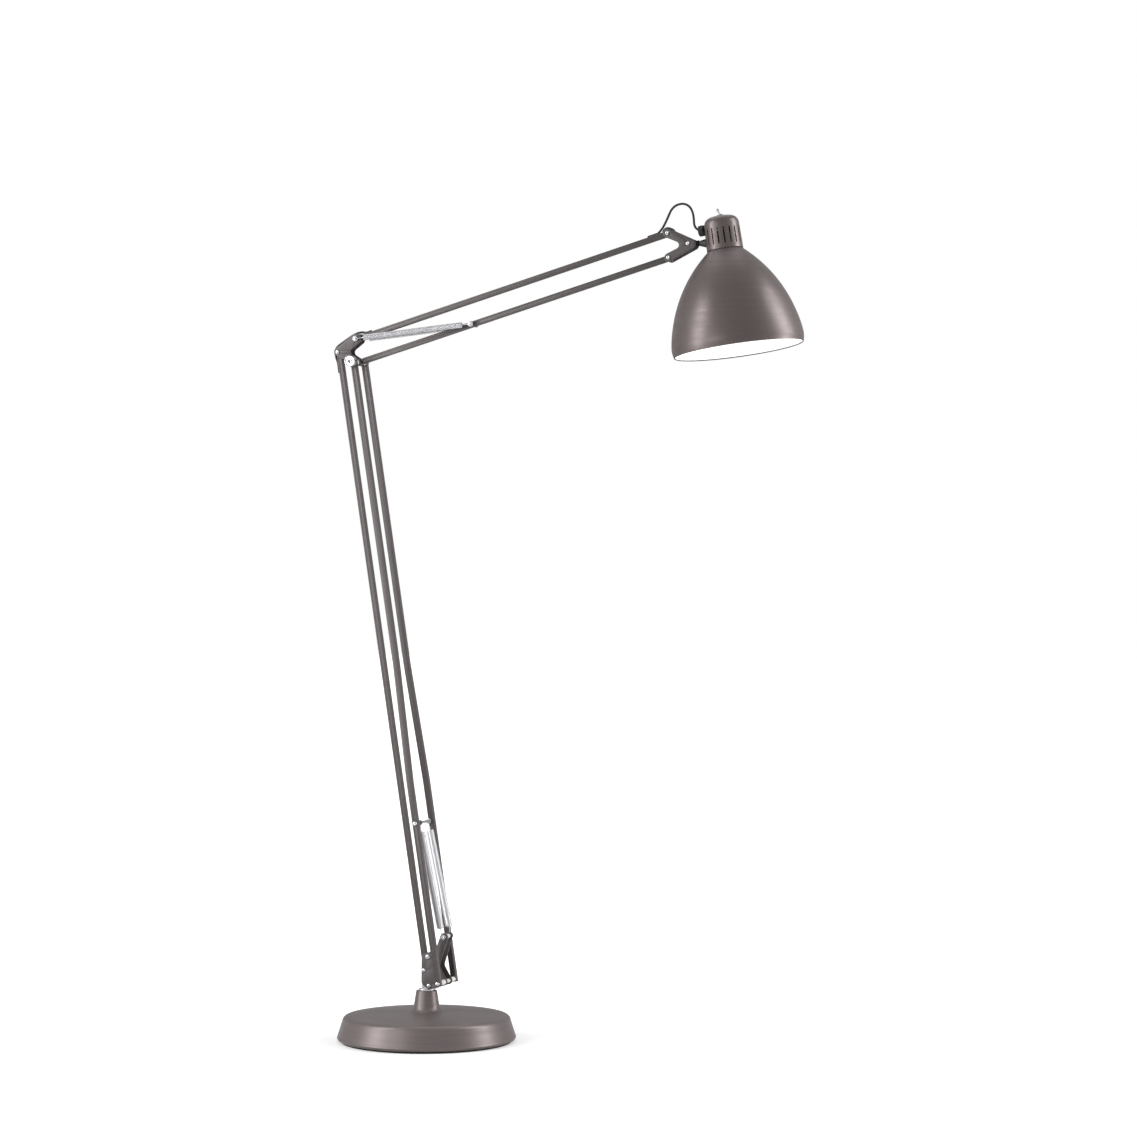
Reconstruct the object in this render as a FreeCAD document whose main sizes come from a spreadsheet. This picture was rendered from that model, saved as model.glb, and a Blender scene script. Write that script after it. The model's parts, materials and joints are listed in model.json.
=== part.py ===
import FreeCAD, Part
import math
import os
import Sketcher
from FreeCAD import Vector, Placement, Rotation

# Reading floor lamp with two spring-balanced parallelogram arms.
# Millimetres. Origin on the floor under the spindle, +X towards the shade, +Z up.
# The arms stand in the plane y = 0 and are mirrored about it.

doc = FreeCAD.newDocument("FloorLamp")

# Driving sizes: name and value in millimetres or degrees
SIZES = (
    ("tube_side", "12.7"),
    ("tube_corner", "2"),
    ("tube_wall", "1.5"),
    ("tube_overhang", "6.5"),
    ("plug_play", "0.1"),
    ("fit_clearance", "0.05"),
    ("moving_gap", "0.3"),
    ("seat_gap", "0.1"),
    ("side_gap", "0.2"),
    ("mast_pivot_height", "160"),
    ("lower_length", "1400"),
    ("lower_lean", "8.7"),
    ("bar_offset_forward", "48"),
    ("bar_offset_drop", "24.5"),
    ("bar_spread_low", "47"),
    ("bar_spread_high", "30"),
    ("bar_joggle_start", "450"),
    ("bar_joggle_end", "715"),
    ("horn_rise", "100"),
    ("spring_bolt_reach", "358"),
    ("yoke_height", "53"),
    ("yoke_lean", "2.6"),
    ("upper_length", "766"),
    ("upper_rise", "16"),
    ("upper_bolt_reach", "287"),
    ("tilt_pivot_forward", "47"),
    ("tilt_pivot_drop", "23.8"),
    ("head_lean", "8.1"),
    ("head_reach", "77.3"),
    ("pivot_above_top", "27"),
    ("pin_radius", "3"),
    ("pin_head_radius", "5"),
    ("pin_head_height", "2.8"),
    ("pin_crown_radius", "3.2"),
    ("tie_head_radius", "6"),
    ("rivet_head_radius", "3"),
    ("rivet_head_height", "1.5"),
    ("plate_thickness", "2.5"),
    ("bracket_plate_inside", "13"),
    ("link_plate_inside", "10"),
    ("washer_radius", "6"),
    ("mast_bush_radius", "7"),
    ("sleeve_radius", "4.6"),
    ("axle_sleeve_radius", "5.5"),
    ("base_radius", "200"),
    ("base_widest_height", "10"),
    ("base_edge_height", "3.5"),
    ("base_edge_round", "9"),
    ("base_foot_inset", "10"),
    ("base_shoulder_inset", "12"),
    ("base_shoulder_height", "48"),
    ("base_shoulder_round", "12"),
    ("base_top_inset", "20"),
    ("base_top_height", "57.5"),
    ("base_dome_height", "66"),
    ("base_dome_radius", "42"),
    ("base_dome_round", "900"),
    ("base_sheet", "2.2"),
    ("neck_flare_round", "19"),
    ("neck_low_radius", "28.7"),
    ("neck_low_height", "79"),
    ("neck_top_radius", "23.3"),
    ("neck_top_height", "114"),
    ("neck_bore_radius", "12.5"),
    ("neck_floor_height", "60"),
    ("spindle_radius", "8"),
    ("spindle_collar_radius", "11"),
    ("spindle_collar_height", "4"),
    ("spindle_foot_height", "40"),
    ("ring_radius", "18"),
    ("ring_height", "3.7"),
    ("weight_inset", "22"),
    ("weight_bottom", "6"),
    ("weight_height", "14"),
    ("weight_bore", "22"),
    ("foot_plate_inset", "14"),
    ("gasket_width", "11"),
    ("block_back", "6"),
    ("block_length", "30"),
    ("block_bottom", "118.1"),
    ("block_height", "28"),
    ("anchor_pin_x", "12"),
    ("anchor_pin_height", "126"),
    ("tie_bolt_x", "9"),
    ("tie_bolt_height", "190"),
    ("horn_radius", "9"),
    ("lug_radius", "8"),
    ("elbow_lobe_mast", "9"),
    ("elbow_lobe_bar", "8"),
    ("elbow_lobe_arm", "12"),
    ("head_lobe_arm", "10"),
    ("head_lobe_stay", "9.5"),
    ("head_lobe_tilt", "11"),
    ("lower_spring_spread", "24.8"),
    ("lower_coil_radius", "7.2"),
    ("lower_wire", "2.4"),
    ("upper_spring_spread", "16.5"),
    ("upper_coil_radius", "5.4"),
    ("upper_wire", "2"),
    ("spring_end_reach", "20"),
    ("spring_plug_length", "9"),
    ("spring_plug_taper", "0.4"),
    ("eye_radius", "6"),
    ("eye_thickness", "2.4"),
    ("nut_height", "5"),
    ("nut_radius", "6"),
    ("knob_radius", "12.5"),
    ("knob_length", "12"),
    ("knob_standoff", "44"),
    ("knob_boss_radius", "7"),
    ("shade_rim_radius", "141"),
    ("shade_rim_round", "60"),
    ("shade_widest_radius", "143.8"),
    ("shade_widest_height", "20"),
    ("shade_flank_radius", "134.5"),
    ("shade_flank_height", "67.4"),
    ("shade_flank_round", "250"),
    ("shade_neck_radius", "41.1"),
    ("shade_neck_drop", "3.6"),
    ("shade_bell_round", "301.6"),
    ("shade_top_height", "219.6"),
    ("shade_sheet", "1.5"),
    ("shade_bore", "20.5"),
    ("cap_seat", "0.4"),
    ("cap_bottom_radius", "39.6"),
    ("cap_side_rise", "53"),
    ("cap_side_radius", "38"),
    ("cap_rise", "72.5"),
    ("cap_round", "18"),
    ("cap_top_radius", "20"),
    ("cap_wall", "2.5"),
    ("slot_width", "3.4"),
    ("slot_rise", "9"),
    ("slot_height", "37"),
    ("slot_pitch", "20"),
    ("switch_radius", "6"),
    ("switch_thread_rise", "5"),
    ("switch_thread_drop", "14"),
    ("switch_case_length", "20"),
    ("switch_case_width", "14"),
    ("switch_case_height", "18"),
    ("switch_nut_radius", "9.2"),
    ("switch_nut_height", "3"),
    ("switch_lean", "18"),
    ("lever_length", "17.5"),
    ("lever_root_radius", "1.5"),
    ("lever_tip_radius", "2.9"),
    ("lever_ball_radius", "3.2"),
    ("lever_pivot_rise", "1.5"),
    ("lever_pin_radius", "0.8"),
    ("lever_pin_half", "4.4"),
    ("gland_rise", "49.7"),
    ("gland_radius", "12"),
    ("gland_length", "13"),
    ("gland_neck_radius", "5.5"),
    ("gland_stand", "39.5"),
    ("knuckle_radius", "9"),
    ("knuckle_neck", "18"),
    ("knuckle_neck_width", "14"),
    ("knuckle_neck_height", "10"),
    ("knuckle_flange", "3"),
    ("knuckle_flange_radius", "6.8"),
    ("arm_length", "18"),
    ("arm_saddle_length", "16"),
    ("arm_root_radius", "5.2"),
    ("arm_flare_radius", "10"),
    ("stem_radius", "3.5"),
    ("stem_length", "16"),
    ("guide_radius", "13.3"),
    ("guide_foot", "1"),
    ("cable_radius", "2.5"),
    ("port_width", "6.4"),
    ("grommet_rise", "3.2"),
    ("bridge_length", "70"),
    ("bridge_width", "18"),
    ("bridge_thickness", "2"),
    ("holder_radius", "20"),
    ("holder_drop", "42"),
    ("holder_bore_radius", "13.6"),
    ("holder_bore_depth", "29"),
    ("shade_ring_radius", "26"),
    ("shade_ring_drop", "5.6"),
    ("bulb_radius", "30"),
    ("bulb_drop", "64"),
    ("bulb_shoulder_round", "38"),
    ("bulb_shoulder_rise", "36"),
    ("bulb_shoulder_radius", "17"),
    ("bulb_cap_radius", "13"),
    ("bulb_cap_length", "20"),
)

sizes = doc.addObject("Spreadsheet::Sheet", "Sizes")
for row, (name, value) in enumerate(SIZES, start=1):
    sizes.set(f"A{row}", name)
    sizes.set(f"B{row}", value)
    sizes.setAlias(f"B{row}", name)
doc.recompute()
reckoner = doc.addObject("App::DocumentObjectGroup", "Reckoner")
nodes = []


def num(expression):
    """Value of a size expression as a plain number."""
    value = reckoner.evalExpression(str(expression))
    return float(getattr(value, "Value", value))


def node(label, obj):
    """Registers one object as a named sub-part."""
    obj.Label = label
    nodes.append((label, obj))
    return obj


# Points of the linkage, as (x, z) expressions
LEAN = "Sizes.lower_lean"
RISE = "Sizes.upper_rise"
HEAD_LEAN = "Sizes.head_lean"


def up_lean(point, reach):
    """A point the given reach up the lower arm's direction."""
    return (f"({point[0]} - {reach} * sin({LEAN}))", f"({point[1]} + {reach} * cos({LEAN}))")


def along_arm(point, reach, side="0"):
    """A point along the upper arm's direction and square to it."""
    return (
        f"({point[0]} + {reach} * cos({RISE}) - {side} * sin({RISE}))",
        f"({point[1]} + {reach} * sin({RISE}) + {side} * cos({RISE}))",
    )


MAST_FOOT = ("0", "Sizes.mast_pivot_height")
BAR_FOOT = ("Sizes.bar_offset_forward", "(Sizes.mast_pivot_height - Sizes.bar_offset_drop)")
HORN = (BAR_FOOT[0], f"({BAR_FOOT[1]} + Sizes.horn_rise)")
MAST_TOP = up_lean(MAST_FOOT, "Sizes.lower_length")
BAR_TOP = up_lean(BAR_FOOT, "Sizes.lower_length")
BAR_BOLT = up_lean(BAR_FOOT, "Sizes.spring_bolt_reach")
ARM_ROOT = (f"({BAR_TOP[0]} - Sizes.yoke_lean)", f"({BAR_TOP[1]} + Sizes.yoke_height)")
ARM_TIP = along_arm(ARM_ROOT, "Sizes.upper_length")
STAY_TIP = along_arm(BAR_TOP, "Sizes.upper_length")
STAY_BOLT = along_arm(BAR_TOP, "Sizes.upper_bolt_reach")
TILT = (f"({ARM_TIP[0]} + Sizes.tilt_pivot_forward)", f"({ARM_TIP[1]} - Sizes.tilt_pivot_drop)")
PIVOT_RISE = "(Sizes.shade_top_height + Sizes.pivot_above_top)"
RIM = (
    f"({TILT[0]} + Sizes.head_reach * cos({HEAD_LEAN}) + {PIVOT_RISE} * sin({HEAD_LEAN}))",
    f"({TILT[1]} + Sizes.head_reach * sin({HEAD_LEAN}) - {PIVOT_RISE} * cos({HEAD_LEAN}))",
)


def shift(point, dx, dz):
    """A point moved by plain offsets."""
    return (f"({point[0]} + {dx})", f"({point[1]} + {dz})")


def place(obj, x, y, z, turn="0", axis="0; 1; 0"):
    """Binds a placement to expressions."""
    text = f"placement(vector({x}; {y}; {z}); rotation(vector({axis}); {turn}))"
    obj.setExpression("Placement", text)
    return obj


def bind(obj, **values):
    """Binds properties to expressions."""
    for key, expression in values.items():
        obj.setExpression(key, expression)
    return obj


serial = {"count": 0}


def fresh(stem):
    """A name that no other helper shape has."""
    serial["count"] += 1
    return f"{stem}_{serial['count']}"


def rod(point, y, length, radius):
    """Cylinder along +Y from y."""
    obj = bind(doc.addObject("Part::Cylinder", fresh("rod")), Radius=radius, Height=length)
    return place(obj, point[0], y, point[1], "-90", "1; 0; 0")


def post(x, y, z, length, radius):
    """Cylinder along +Z."""
    obj = bind(doc.addObject("Part::Cylinder", fresh("post")), Radius=radius, Height=length)
    return place(obj, x, y, z)


def slanted(point, y, turn, length, radius):
    """Cylinder whose axis is +Z turned about Y."""
    obj = bind(doc.addObject("Part::Cylinder", fresh("slanted")), Radius=radius, Height=length)
    return place(obj, point[0], y, point[1], turn)


def cone_rod(point, y, length, radius, end_radius, way=1):
    """Cone along +Y or -Y, wide end at y."""
    obj = doc.addObject("Part::Cone", fresh("crown"))
    bind(obj, Radius1=radius, Radius2=end_radius, Height=length)
    return place(obj, point[0], y, point[1], "-90" if way > 0 else "90", "1; 0; 0")


def slanted_cone(point, y, turn, length, radius, end_radius):
    """Cone whose axis is +Z turned about Y."""
    obj = doc.addObject("Part::Cone", fresh("taper"))
    bind(obj, Radius1=radius, Radius2=end_radius, Height=length)
    return place(obj, point[0], y, point[1], turn)


def slanted_box(point, y, turn, dx, dy, dz, length, width, height):
    """Box turned about Y around a point, its low corner at the given offsets."""
    obj = bind(doc.addObject("Part::Box", fresh("block")), Length=length, Width=width, Height=height)
    text = (
        f"placement(vector({point[0]}; {y}; {point[1]}); rotation(vector(0; 1; 0); {turn}))"
        f" * placement(vector({dx}; {dy}; {dz}); rotation(vector(0; 0; 1); 0))"
    )
    obj.setExpression("Placement", text)
    return obj


def ball(point, radius):
    """Sphere in the arm plane."""
    obj = bind(doc.addObject("Part::Sphere", fresh("ball")), Radius=radius)
    return place(obj, point[0], "0", point[1])


def join(parts, label="joined"):
    """Union of several solids."""
    obj = doc.addObject("Part::MultiFuse", fresh(label))
    obj.Shapes = parts
    return obj


def cut(base, tools, label="cut"):
    """One solid less several others."""
    obj = doc.addObject("Part::Cut", fresh(label))
    obj.Base = base
    obj.Tool = tools[0] if len(tools) == 1 else join(tools)
    return obj


def collar(point, y, length, radius, bore):
    """Ring along +Y."""
    hole_start = f"({y} - 1)"
    return cut(rod(point, y, length, radius), [rod(point, hole_start, f"({length} + 2)", bore)])


def collar_pair(point, inside, length, radius, bore):
    """Two rings, one each side of the arm plane."""
    return [
        collar(point, f"(0 - {inside} - {length})", length, radius, bore),
        collar(point, inside, length, radius, bore),
    ]


def through_pin(point, half, radius="Sizes.pin_radius", head="Sizes.pin_head_radius"):
    """Pin across the arm plane with a crowned head at each end."""
    crown = "Sizes.pin_head_height"
    return [
        rod(point, f"(0 - {half})", f"(2 * {half})", radius),
        cone_rod(point, half, crown, head, "Sizes.pin_crown_radius"),
        cone_rod(point, f"(0 - {half})", crown, head, "Sizes.pin_crown_radius", -1),
    ]


# Sketch helpers
def new_body(name):
    """Empty body."""
    return doc.addObject("PartDesign::Body", name)


def plane_of(body, role):
    """One of the body's origin planes or axes."""
    return next(o for o in body.Origin.OriginFeatures if o.Role == role)


def new_sketch(body, role):
    """Sketch on an origin plane."""
    sketch = body.newObject("Sketcher::SketchObject", fresh("sketch"))
    sketch.AttachmentSupport = [(plane_of(body, role), "")]
    sketch.MapMode = "FlatFace"
    return sketch


def pin_point(sketch, piece, end, x, y):
    """Holds one point of a sketch at two expressions."""
    for kind, text, axis in (("DistanceX", x, -2), ("DistanceY", y, -1)):
        value = num(text)
        if abs(value) < 1e-9:
            sketch.addConstraint(Sketcher.Constraint("PointOnObject", piece, end, axis))
            continue
        index = sketch.addConstraint(Sketcher.Constraint(kind, -1, 1, piece, end, value))
        sketch.setExpression(f"Constraints[{index}]", str(text))


def arc_between(a, b, radius, way):
    """Arc of a circle from a to b, turning left for way +1 and right for -1."""
    chord = b - a
    half = chord.Length / 2
    left = Vector(-chord.y, chord.x, 0).normalize()
    centre = (a + b) * 0.5 + left * (way * math.sqrt(max(radius * radius - half * half, 0)))
    first, last = (a, b) if way > 0 else (b, a)
    start = math.atan2(first.y - centre.y, first.x - centre.x)
    stop = math.atan2(last.y - centre.y, last.x - centre.x)
    if stop < start:
        stop += 2 * math.pi
    return Part.ArcOfCircle(Part.Circle(centre, Vector(0, 0, 1), radius), start, stop)


def outline(sketch, corners):
    """Closed outline: corners are (x, y) or (x, y, radius, way) for an arc to the next corner."""
    spots = [Vector(num(c[0]), num(c[1]), 0) for c in corners]
    pieces = []
    for index, corner in enumerate(corners):
        a = spots[index]
        b = spots[(index + 1) % len(corners)]
        if len(corner) == 4:
            piece = sketch.addGeometry(arc_between(a, b, num(corner[2]), corner[3]), False)
            ends = (1, 2) if corner[3] > 0 else (2, 1)
        else:
            piece = sketch.addGeometry(Part.LineSegment(a, b), False)
            ends = (1, 2)
        pieces.append((piece, ends))
    for index, (piece, ends) in enumerate(pieces):
        following, next_ends = pieces[(index + 1) % len(pieces)]
        sketch.addConstraint(Sketcher.Constraint("Coincident", piece, ends[1], following, next_ends[0]))
    for corner, (piece, ends) in zip(corners, pieces):
        pin_point(sketch, piece, ends[0], corner[0], corner[1])
        if len(corner) == 4:
            index = sketch.addConstraint(Sketcher.Constraint("Radius", piece, num(corner[2])))
            sketch.setExpression(f"Constraints[{index}]", str(corner[2]))
    return sketch


def belt(sketch, lobes):
    """Outline stretched round lobes (x, y, radius, way): way +1 bulges out, -1 is a hollow."""
    count = len(lobes)
    centres = [Vector(num(c[0]), num(c[1]), 0) for c in lobes]
    radii = [num(c[2]) for c in lobes]
    ways = [c[3] for c in lobes]
    lines = []
    for i in range(count):
        j = (i + 1) % count
        gap = centres[j] - centres[i]
        lift = (ways[j] * radii[j] - ways[i] * radii[i]) / gap.Length
        heading = math.atan2(gap.y, gap.x) - math.asin(max(-1.0, min(1.0, lift)))
        left = Vector(-math.sin(heading), math.cos(heading), 0)
        lines.append((centres[i] - left * (ways[i] * radii[i]), centres[j] - left * (ways[j] * radii[j])))
    segment_ids = []
    arc_ids = []
    for i in range(count):
        segment_ids.append(sketch.addGeometry(Part.LineSegment(lines[i][0], lines[i][1]), False))
    for i in range(count):
        arrive = lines[i - 1][1]
        leave = lines[i][0]
        first, last = (arrive, leave) if ways[i] > 0 else (leave, arrive)
        start = math.atan2(first.y - centres[i].y, first.x - centres[i].x)
        stop = math.atan2(last.y - centres[i].y, last.x - centres[i].x)
        if stop < start:
            stop += 2 * math.pi
        circle = Part.Circle(centres[i], Vector(0, 0, 1), radii[i])
        arc_ids.append(sketch.addGeometry(Part.ArcOfCircle(circle, start, stop), False))
    for i in range(count):
        begin, end = (1, 2) if ways[i] > 0 else (2, 1)
        sketch.addConstraint(Sketcher.Constraint("Tangent", segment_ids[i - 1], 2, arc_ids[i], begin))
        sketch.addConstraint(Sketcher.Constraint("Tangent", arc_ids[i], end, segment_ids[i], 1))
        pin_point(sketch, arc_ids[i], 3, lobes[i][0], lobes[i][1])
        index = sketch.addConstraint(Sketcher.Constraint("Radius", arc_ids[i], radii[i]))
        sketch.setExpression(f"Constraints[{index}]", str(lobes[i][2]))
    return sketch


def ring_hole(sketch, x, y, radius):
    """Round hole in a sketch."""
    circle = Part.Circle(Vector(num(x), num(y), 0), Vector(0, 0, 1), num(radius))
    piece = sketch.addGeometry(circle, False)
    pin_point(sketch, piece, 3, x, y)
    index = sketch.addConstraint(Sketcher.Constraint("Radius", piece, num(radius)))
    sketch.setExpression(f"Constraints[{index}]", str(radius))
    return sketch


def pad(body, sketch, length):
    """Pad, half each way."""
    feature = body.newObject("PartDesign::Pad", fresh("pad"))
    feature.Profile = sketch
    feature.setExpression("Length", length)
    feature.Midplane = True
    sketch.Visibility = False
    return feature


def pocket(body, sketch, length):
    """Pocket, half each way."""
    feature = body.newObject("PartDesign::Pocket", fresh("pocket"))
    feature.Profile = sketch
    feature.setExpression("Length", length)
    feature.Midplane = True
    sketch.Visibility = False
    return feature


def turned(body, sketch):
    """Solid of revolution about Z."""
    feature = body.newObject("PartDesign::Revolution", fresh("turned"))
    feature.Profile = sketch
    feature.ReferenceAxis = (sketch, ["V_Axis"])
    feature.Angle = 360
    sketch.Visibility = False
    return feature


HOLE = "(Sizes.pin_radius + Sizes.fit_clearance)"
TUBE_HALF = "(Sizes.tube_side / 2)"


def eye_inside(stem):
    """Near face of a spring's eye, measured from the arm plane."""
    return f"(Sizes.{stem}_spring_spread - Sizes.eye_thickness / 2)"


def eye_outside(stem):
    """Far face of a spring's eye, measured from the arm plane."""
    return f"(Sizes.{stem}_spring_spread + Sizes.eye_thickness / 2)"


def link_plate(name, lobes, holes, inside, side):
    """Flat plate square to Y, its inner face at the given distance from the arm plane."""
    body = new_body(fresh(name))
    sketch = new_sketch(body, "XZ_Plane")
    belt(sketch, lobes)
    for hole in holes:
        ring_hole(sketch, hole[0], hole[1], HOLE)
    pad(body, sketch, "Sizes.plate_thickness")
    place(body, "0", f"({side} * ({inside} + Sizes.plate_thickness / 2))", "0")
    return body


# Base
def base_parts():
    body = new_body("base_cover_body")
    sketch = new_sketch(body, "XZ_Plane")
    sheet = "Sizes.base_sheet"
    foot = "(Sizes.base_radius - Sizes.base_foot_inset)"
    shoulder = "(Sizes.base_radius - Sizes.base_shoulder_inset)"
    top = "(Sizes.base_radius - Sizes.base_top_inset)"
    flange_radius = "(Sizes.base_radius - Sizes.foot_plate_inset)"
    lip = f"({flange_radius} + 5 * Sizes.seat_gap)"
    corners = (
        (lip, "Sizes.base_edge_height"),
        (foot, "Sizes.base_edge_height", "Sizes.base_edge_round", 1),
        ("Sizes.base_radius", "Sizes.base_widest_height"),
        (shoulder, "Sizes.base_shoulder_height", "Sizes.base_shoulder_round", 1),
        (top, "Sizes.base_top_height", "Sizes.base_dome_round", 1),
        ("Sizes.base_dome_radius", "Sizes.base_dome_height", "Sizes.neck_flare_round", -1),
        ("Sizes.neck_low_radius", "Sizes.neck_low_height"),
        ("Sizes.neck_top_radius", "Sizes.neck_top_height"),
        ("Sizes.neck_bore_radius", "Sizes.neck_top_height"),
        ("Sizes.neck_bore_radius", "Sizes.neck_floor_height"),
        ("Sizes.neck_low_radius", "Sizes.neck_floor_height"),
        ("Sizes.base_dome_radius", f"Sizes.base_dome_height - {sheet}", "Sizes.base_dome_round", -1),
        (f"{top} - {sheet}", f"Sizes.base_top_height - {sheet}"),
        (f"{shoulder} - {sheet}", f"Sizes.base_shoulder_height - {sheet}"),
        (f"Sizes.base_radius - {sheet}", "Sizes.base_widest_height + 5 * Sizes.seat_gap"),
        (lip, f"Sizes.base_edge_height + {sheet}"),
    )
    outline(sketch, corners)
    turned(body, sketch)
    node("base_cover", body)

    weight_radius = "(Sizes.base_radius - Sizes.weight_inset)"
    weight = cut(
        post("0", "0", "Sizes.weight_bottom", "Sizes.weight_height", weight_radius),
        [post("0", "0", "0", "Sizes.base_top_height", "Sizes.weight_bore")],
    )
    flange_height = "(Sizes.weight_bottom - Sizes.base_edge_height)"
    flange = post("0", "0", "Sizes.base_edge_height", flange_height, flange_radius)
    node("base_weight", join([weight, flange]))
    hole = f"({foot} - Sizes.gasket_width)"
    gasket = cut(
        post("0", "0", "0", "Sizes.base_edge_height", foot),
        [post("0", "0", "(0 - Sizes.base_edge_height)", "(3 * Sizes.base_edge_height)", hole)],
    )
    node("foot_gasket", gasket)
    node("base_pad", post("0", "0", "0", "Sizes.base_edge_height", f"({hole} - Sizes.side_gap)"))
    bush = cut(
        post(
            "0", "0", "Sizes.neck_floor_height", "Sizes.neck_top_height - Sizes.neck_floor_height",
            "Sizes.neck_bore_radius - Sizes.fit_clearance",
        ),
        [post("0", "0", "0", "Sizes.neck_top_height * 2", "Sizes.spindle_radius + Sizes.fit_clearance")],
    )
    node("neck_bush", bush)
    ring = cut(
        post("0", "0", "Sizes.neck_top_height", "Sizes.ring_height", "Sizes.ring_radius"),
        [post("0", "0", "0", "Sizes.neck_top_height * 2", "Sizes.spindle_radius + 3 * Sizes.moving_gap")],
    )
    node("neck_ring", ring)


# Swivel bracket at the foot of the lower arm
def bracket_parts():
    shaft = post(
        "0", "0", "Sizes.spindle_foot_height", "Sizes.block_bottom - Sizes.spindle_foot_height + 1",
        "Sizes.spindle_radius",
    )
    collar_foot = post(
        "0", "0", "Sizes.spindle_foot_height", "Sizes.spindle_collar_height", "Sizes.spindle_collar_radius"
    )
    block = doc.addObject("Part::Box", "spindle_head")
    block_width = "2 * Sizes.bracket_plate_inside"
    bind(block, Length="Sizes.block_length", Width=block_width, Height="Sizes.block_height")
    place(block, "(0 - Sizes.block_back)", "(0 - Sizes.bracket_plate_inside)", "Sizes.block_bottom")
    anchor = ("Sizes.anchor_pin_x", "Sizes.anchor_pin_height")
    tie = ("Sizes.tie_bolt_x", "Sizes.tie_bolt_height")
    drilled = cut(
        join([shaft, collar_foot, block]),
        [rod(anchor, "(0 - 2 * Sizes.bracket_plate_inside)", "(4 * Sizes.bracket_plate_inside)", HOLE)],
    )
    node("spindle", drilled)
    lobes = (
        ("3", "135", "9.5", 1),
        (anchor[0], anchor[1], "Sizes.lug_radius", 1),
        (BAR_FOOT[0], BAR_FOOT[1], "Sizes.lug_radius", 1),
        (f"{BAR_FOOT[0]} + 2", f"{BAR_FOOT[1]} + 36.5", "12", -1),
        (HORN[0], HORN[1], "Sizes.horn_radius", 1),
        ("Sizes.tie_bolt_x + 3", "Sizes.tie_bolt_height + 32", "20", -1),
        ("Sizes.tie_bolt_x - 4", "Sizes.tie_bolt_height - 3", "11", 1),
    )
    holes = (anchor, BAR_FOOT, HORN, tie, MAST_FOOT)
    inside = "Sizes.bracket_plate_inside"
    node("bracket_plate_near", link_plate("bracket_near", lobes, holes, inside, -1))
    node("bracket_plate_far", link_plate("bracket_far", lobes, holes, inside, 1))
    outer = "(Sizes.bracket_plate_inside + Sizes.plate_thickness)"
    pins = through_pin(anchor, outer) + through_pin(MAST_FOOT, outer)
    pins += through_pin(tie, outer, head="Sizes.tie_head_radius")
    node("bracket_pins", join(pins))
    bush_length = f"(Sizes.bracket_plate_inside - {TUBE_HALF} - Sizes.side_gap - Sizes.seat_gap)"
    bush_start = f"({TUBE_HALF} + Sizes.side_gap)"
    bushes = collar_pair(MAST_FOOT, bush_start, bush_length, "Sizes.mast_bush_radius", HOLE)
    axle_half = f"(Sizes.bar_spread_low + {TUBE_HALF} + 2 * Sizes.side_gap)"
    node("bar_axle", join(through_pin(BAR_FOOT, axle_half)))
    start = f"({outer} + Sizes.seat_gap)"
    gap = f"(Sizes.bar_spread_low - {TUBE_HALF} - Sizes.moving_gap - {start})"
    sleeves = collar_pair(BAR_FOOT, start, gap, "Sizes.washer_radius", HOLE)
    back = "(Sizes.seat_gap - Sizes.bracket_plate_inside)"
    width = "(2 * Sizes.bracket_plate_inside - 2 * Sizes.seat_gap)"
    middle = collar(BAR_FOOT, back, width, "Sizes.sleeve_radius", HOLE)
    node("horn_bolt", join(through_pin(HORN, f"({eye_outside('lower')} + 3 * Sizes.side_gap)")))
    horn_gap = f"({eye_inside('lower')} - Sizes.side_gap - {start})"
    horn_sleeves = collar_pair(HORN, start, horn_gap, "Sizes.sleeve_radius", HOLE)
    horn_middle = collar(HORN, back, width, "Sizes.sleeve_radius", HOLE)
    node("bracket_spacers", join(bushes + sleeves + [middle] + horn_sleeves + [horn_middle]))


# Ways for the cable through the tube walls, from one reach to another
MAST_PORT = ("(Sizes.lower_length - 46)", "(Sizes.lower_length - 20)")
ROOT_PORT = ("18.5", "36.5")
TIP_PORT = ("(Sizes.upper_length - 48)", "(Sizes.upper_length - 19)")


# Square tubes
def port_box(origin, turn, start, stop, margin, rise):
    """Box through the wall on a tube's back face, between two reaches."""
    depth = f"(Sizes.tube_wall + 2 * Sizes.side_gap + {rise})"
    wide = f"(Sizes.port_width + 2 * {margin})"
    corner = (f"(0 - {TUBE_HALF} - {rise})", f"(0 - {wide} / 2)", f"({start} - {margin})")
    return slanted_box(origin, "0", turn, *corner, depth, wide, f"({stop} - {start} + 2 * {margin})")


def square_tube(name, origin, turn, length, bores, ports=()):
    """Hollow square tube along local +Z with cross bores at the listed reaches."""
    body = new_body(name)
    half = "Sizes.tube_side / 2"
    edge = f"({half} - Sizes.tube_corner)"
    wall = f"({half} - Sizes.tube_wall)"
    section = new_sketch(body, "XY_Plane")
    corner = "Sizes.tube_corner"
    belt(section, (
        (edge, f"-{edge}", corner, 1), (edge, edge, corner, 1),
        (f"-{edge}", edge, corner, 1), (f"-{edge}", f"-{edge}", corner, 1),
    ))
    outline(section, ((wall, f"-{wall}"), (wall, wall), (f"-{wall}", wall), (f"-{wall}", f"-{wall}")))
    feature = body.newObject("PartDesign::Pad", fresh("pad"))
    feature.Profile = section
    feature.setExpression("Length", f"{length} + 2 * Sizes.tube_overhang")
    section.Visibility = False
    holes = new_sketch(body, "XZ_Plane")
    for reach in bores:
        ring_hole(holes, "0", f"({reach} + Sizes.tube_overhang)", HOLE)
    pocket(body, holes, "Sizes.tube_side * 2")
    text = (
        f"placement(vector({origin[0]}; 0; {origin[1]}); rotation(vector(0; 1; 0); {turn}))"
        " * placement(vector(0; 0; -Sizes.tube_overhang); rotation(vector(0; 0; 1); 0))"
    )
    body.setExpression("Placement", text)
    if not ports:
        return body
    margin = "Sizes.fit_clearance"
    return cut(body, [port_box(origin, turn, start, stop, margin, "1") for start, stop in ports])


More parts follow.
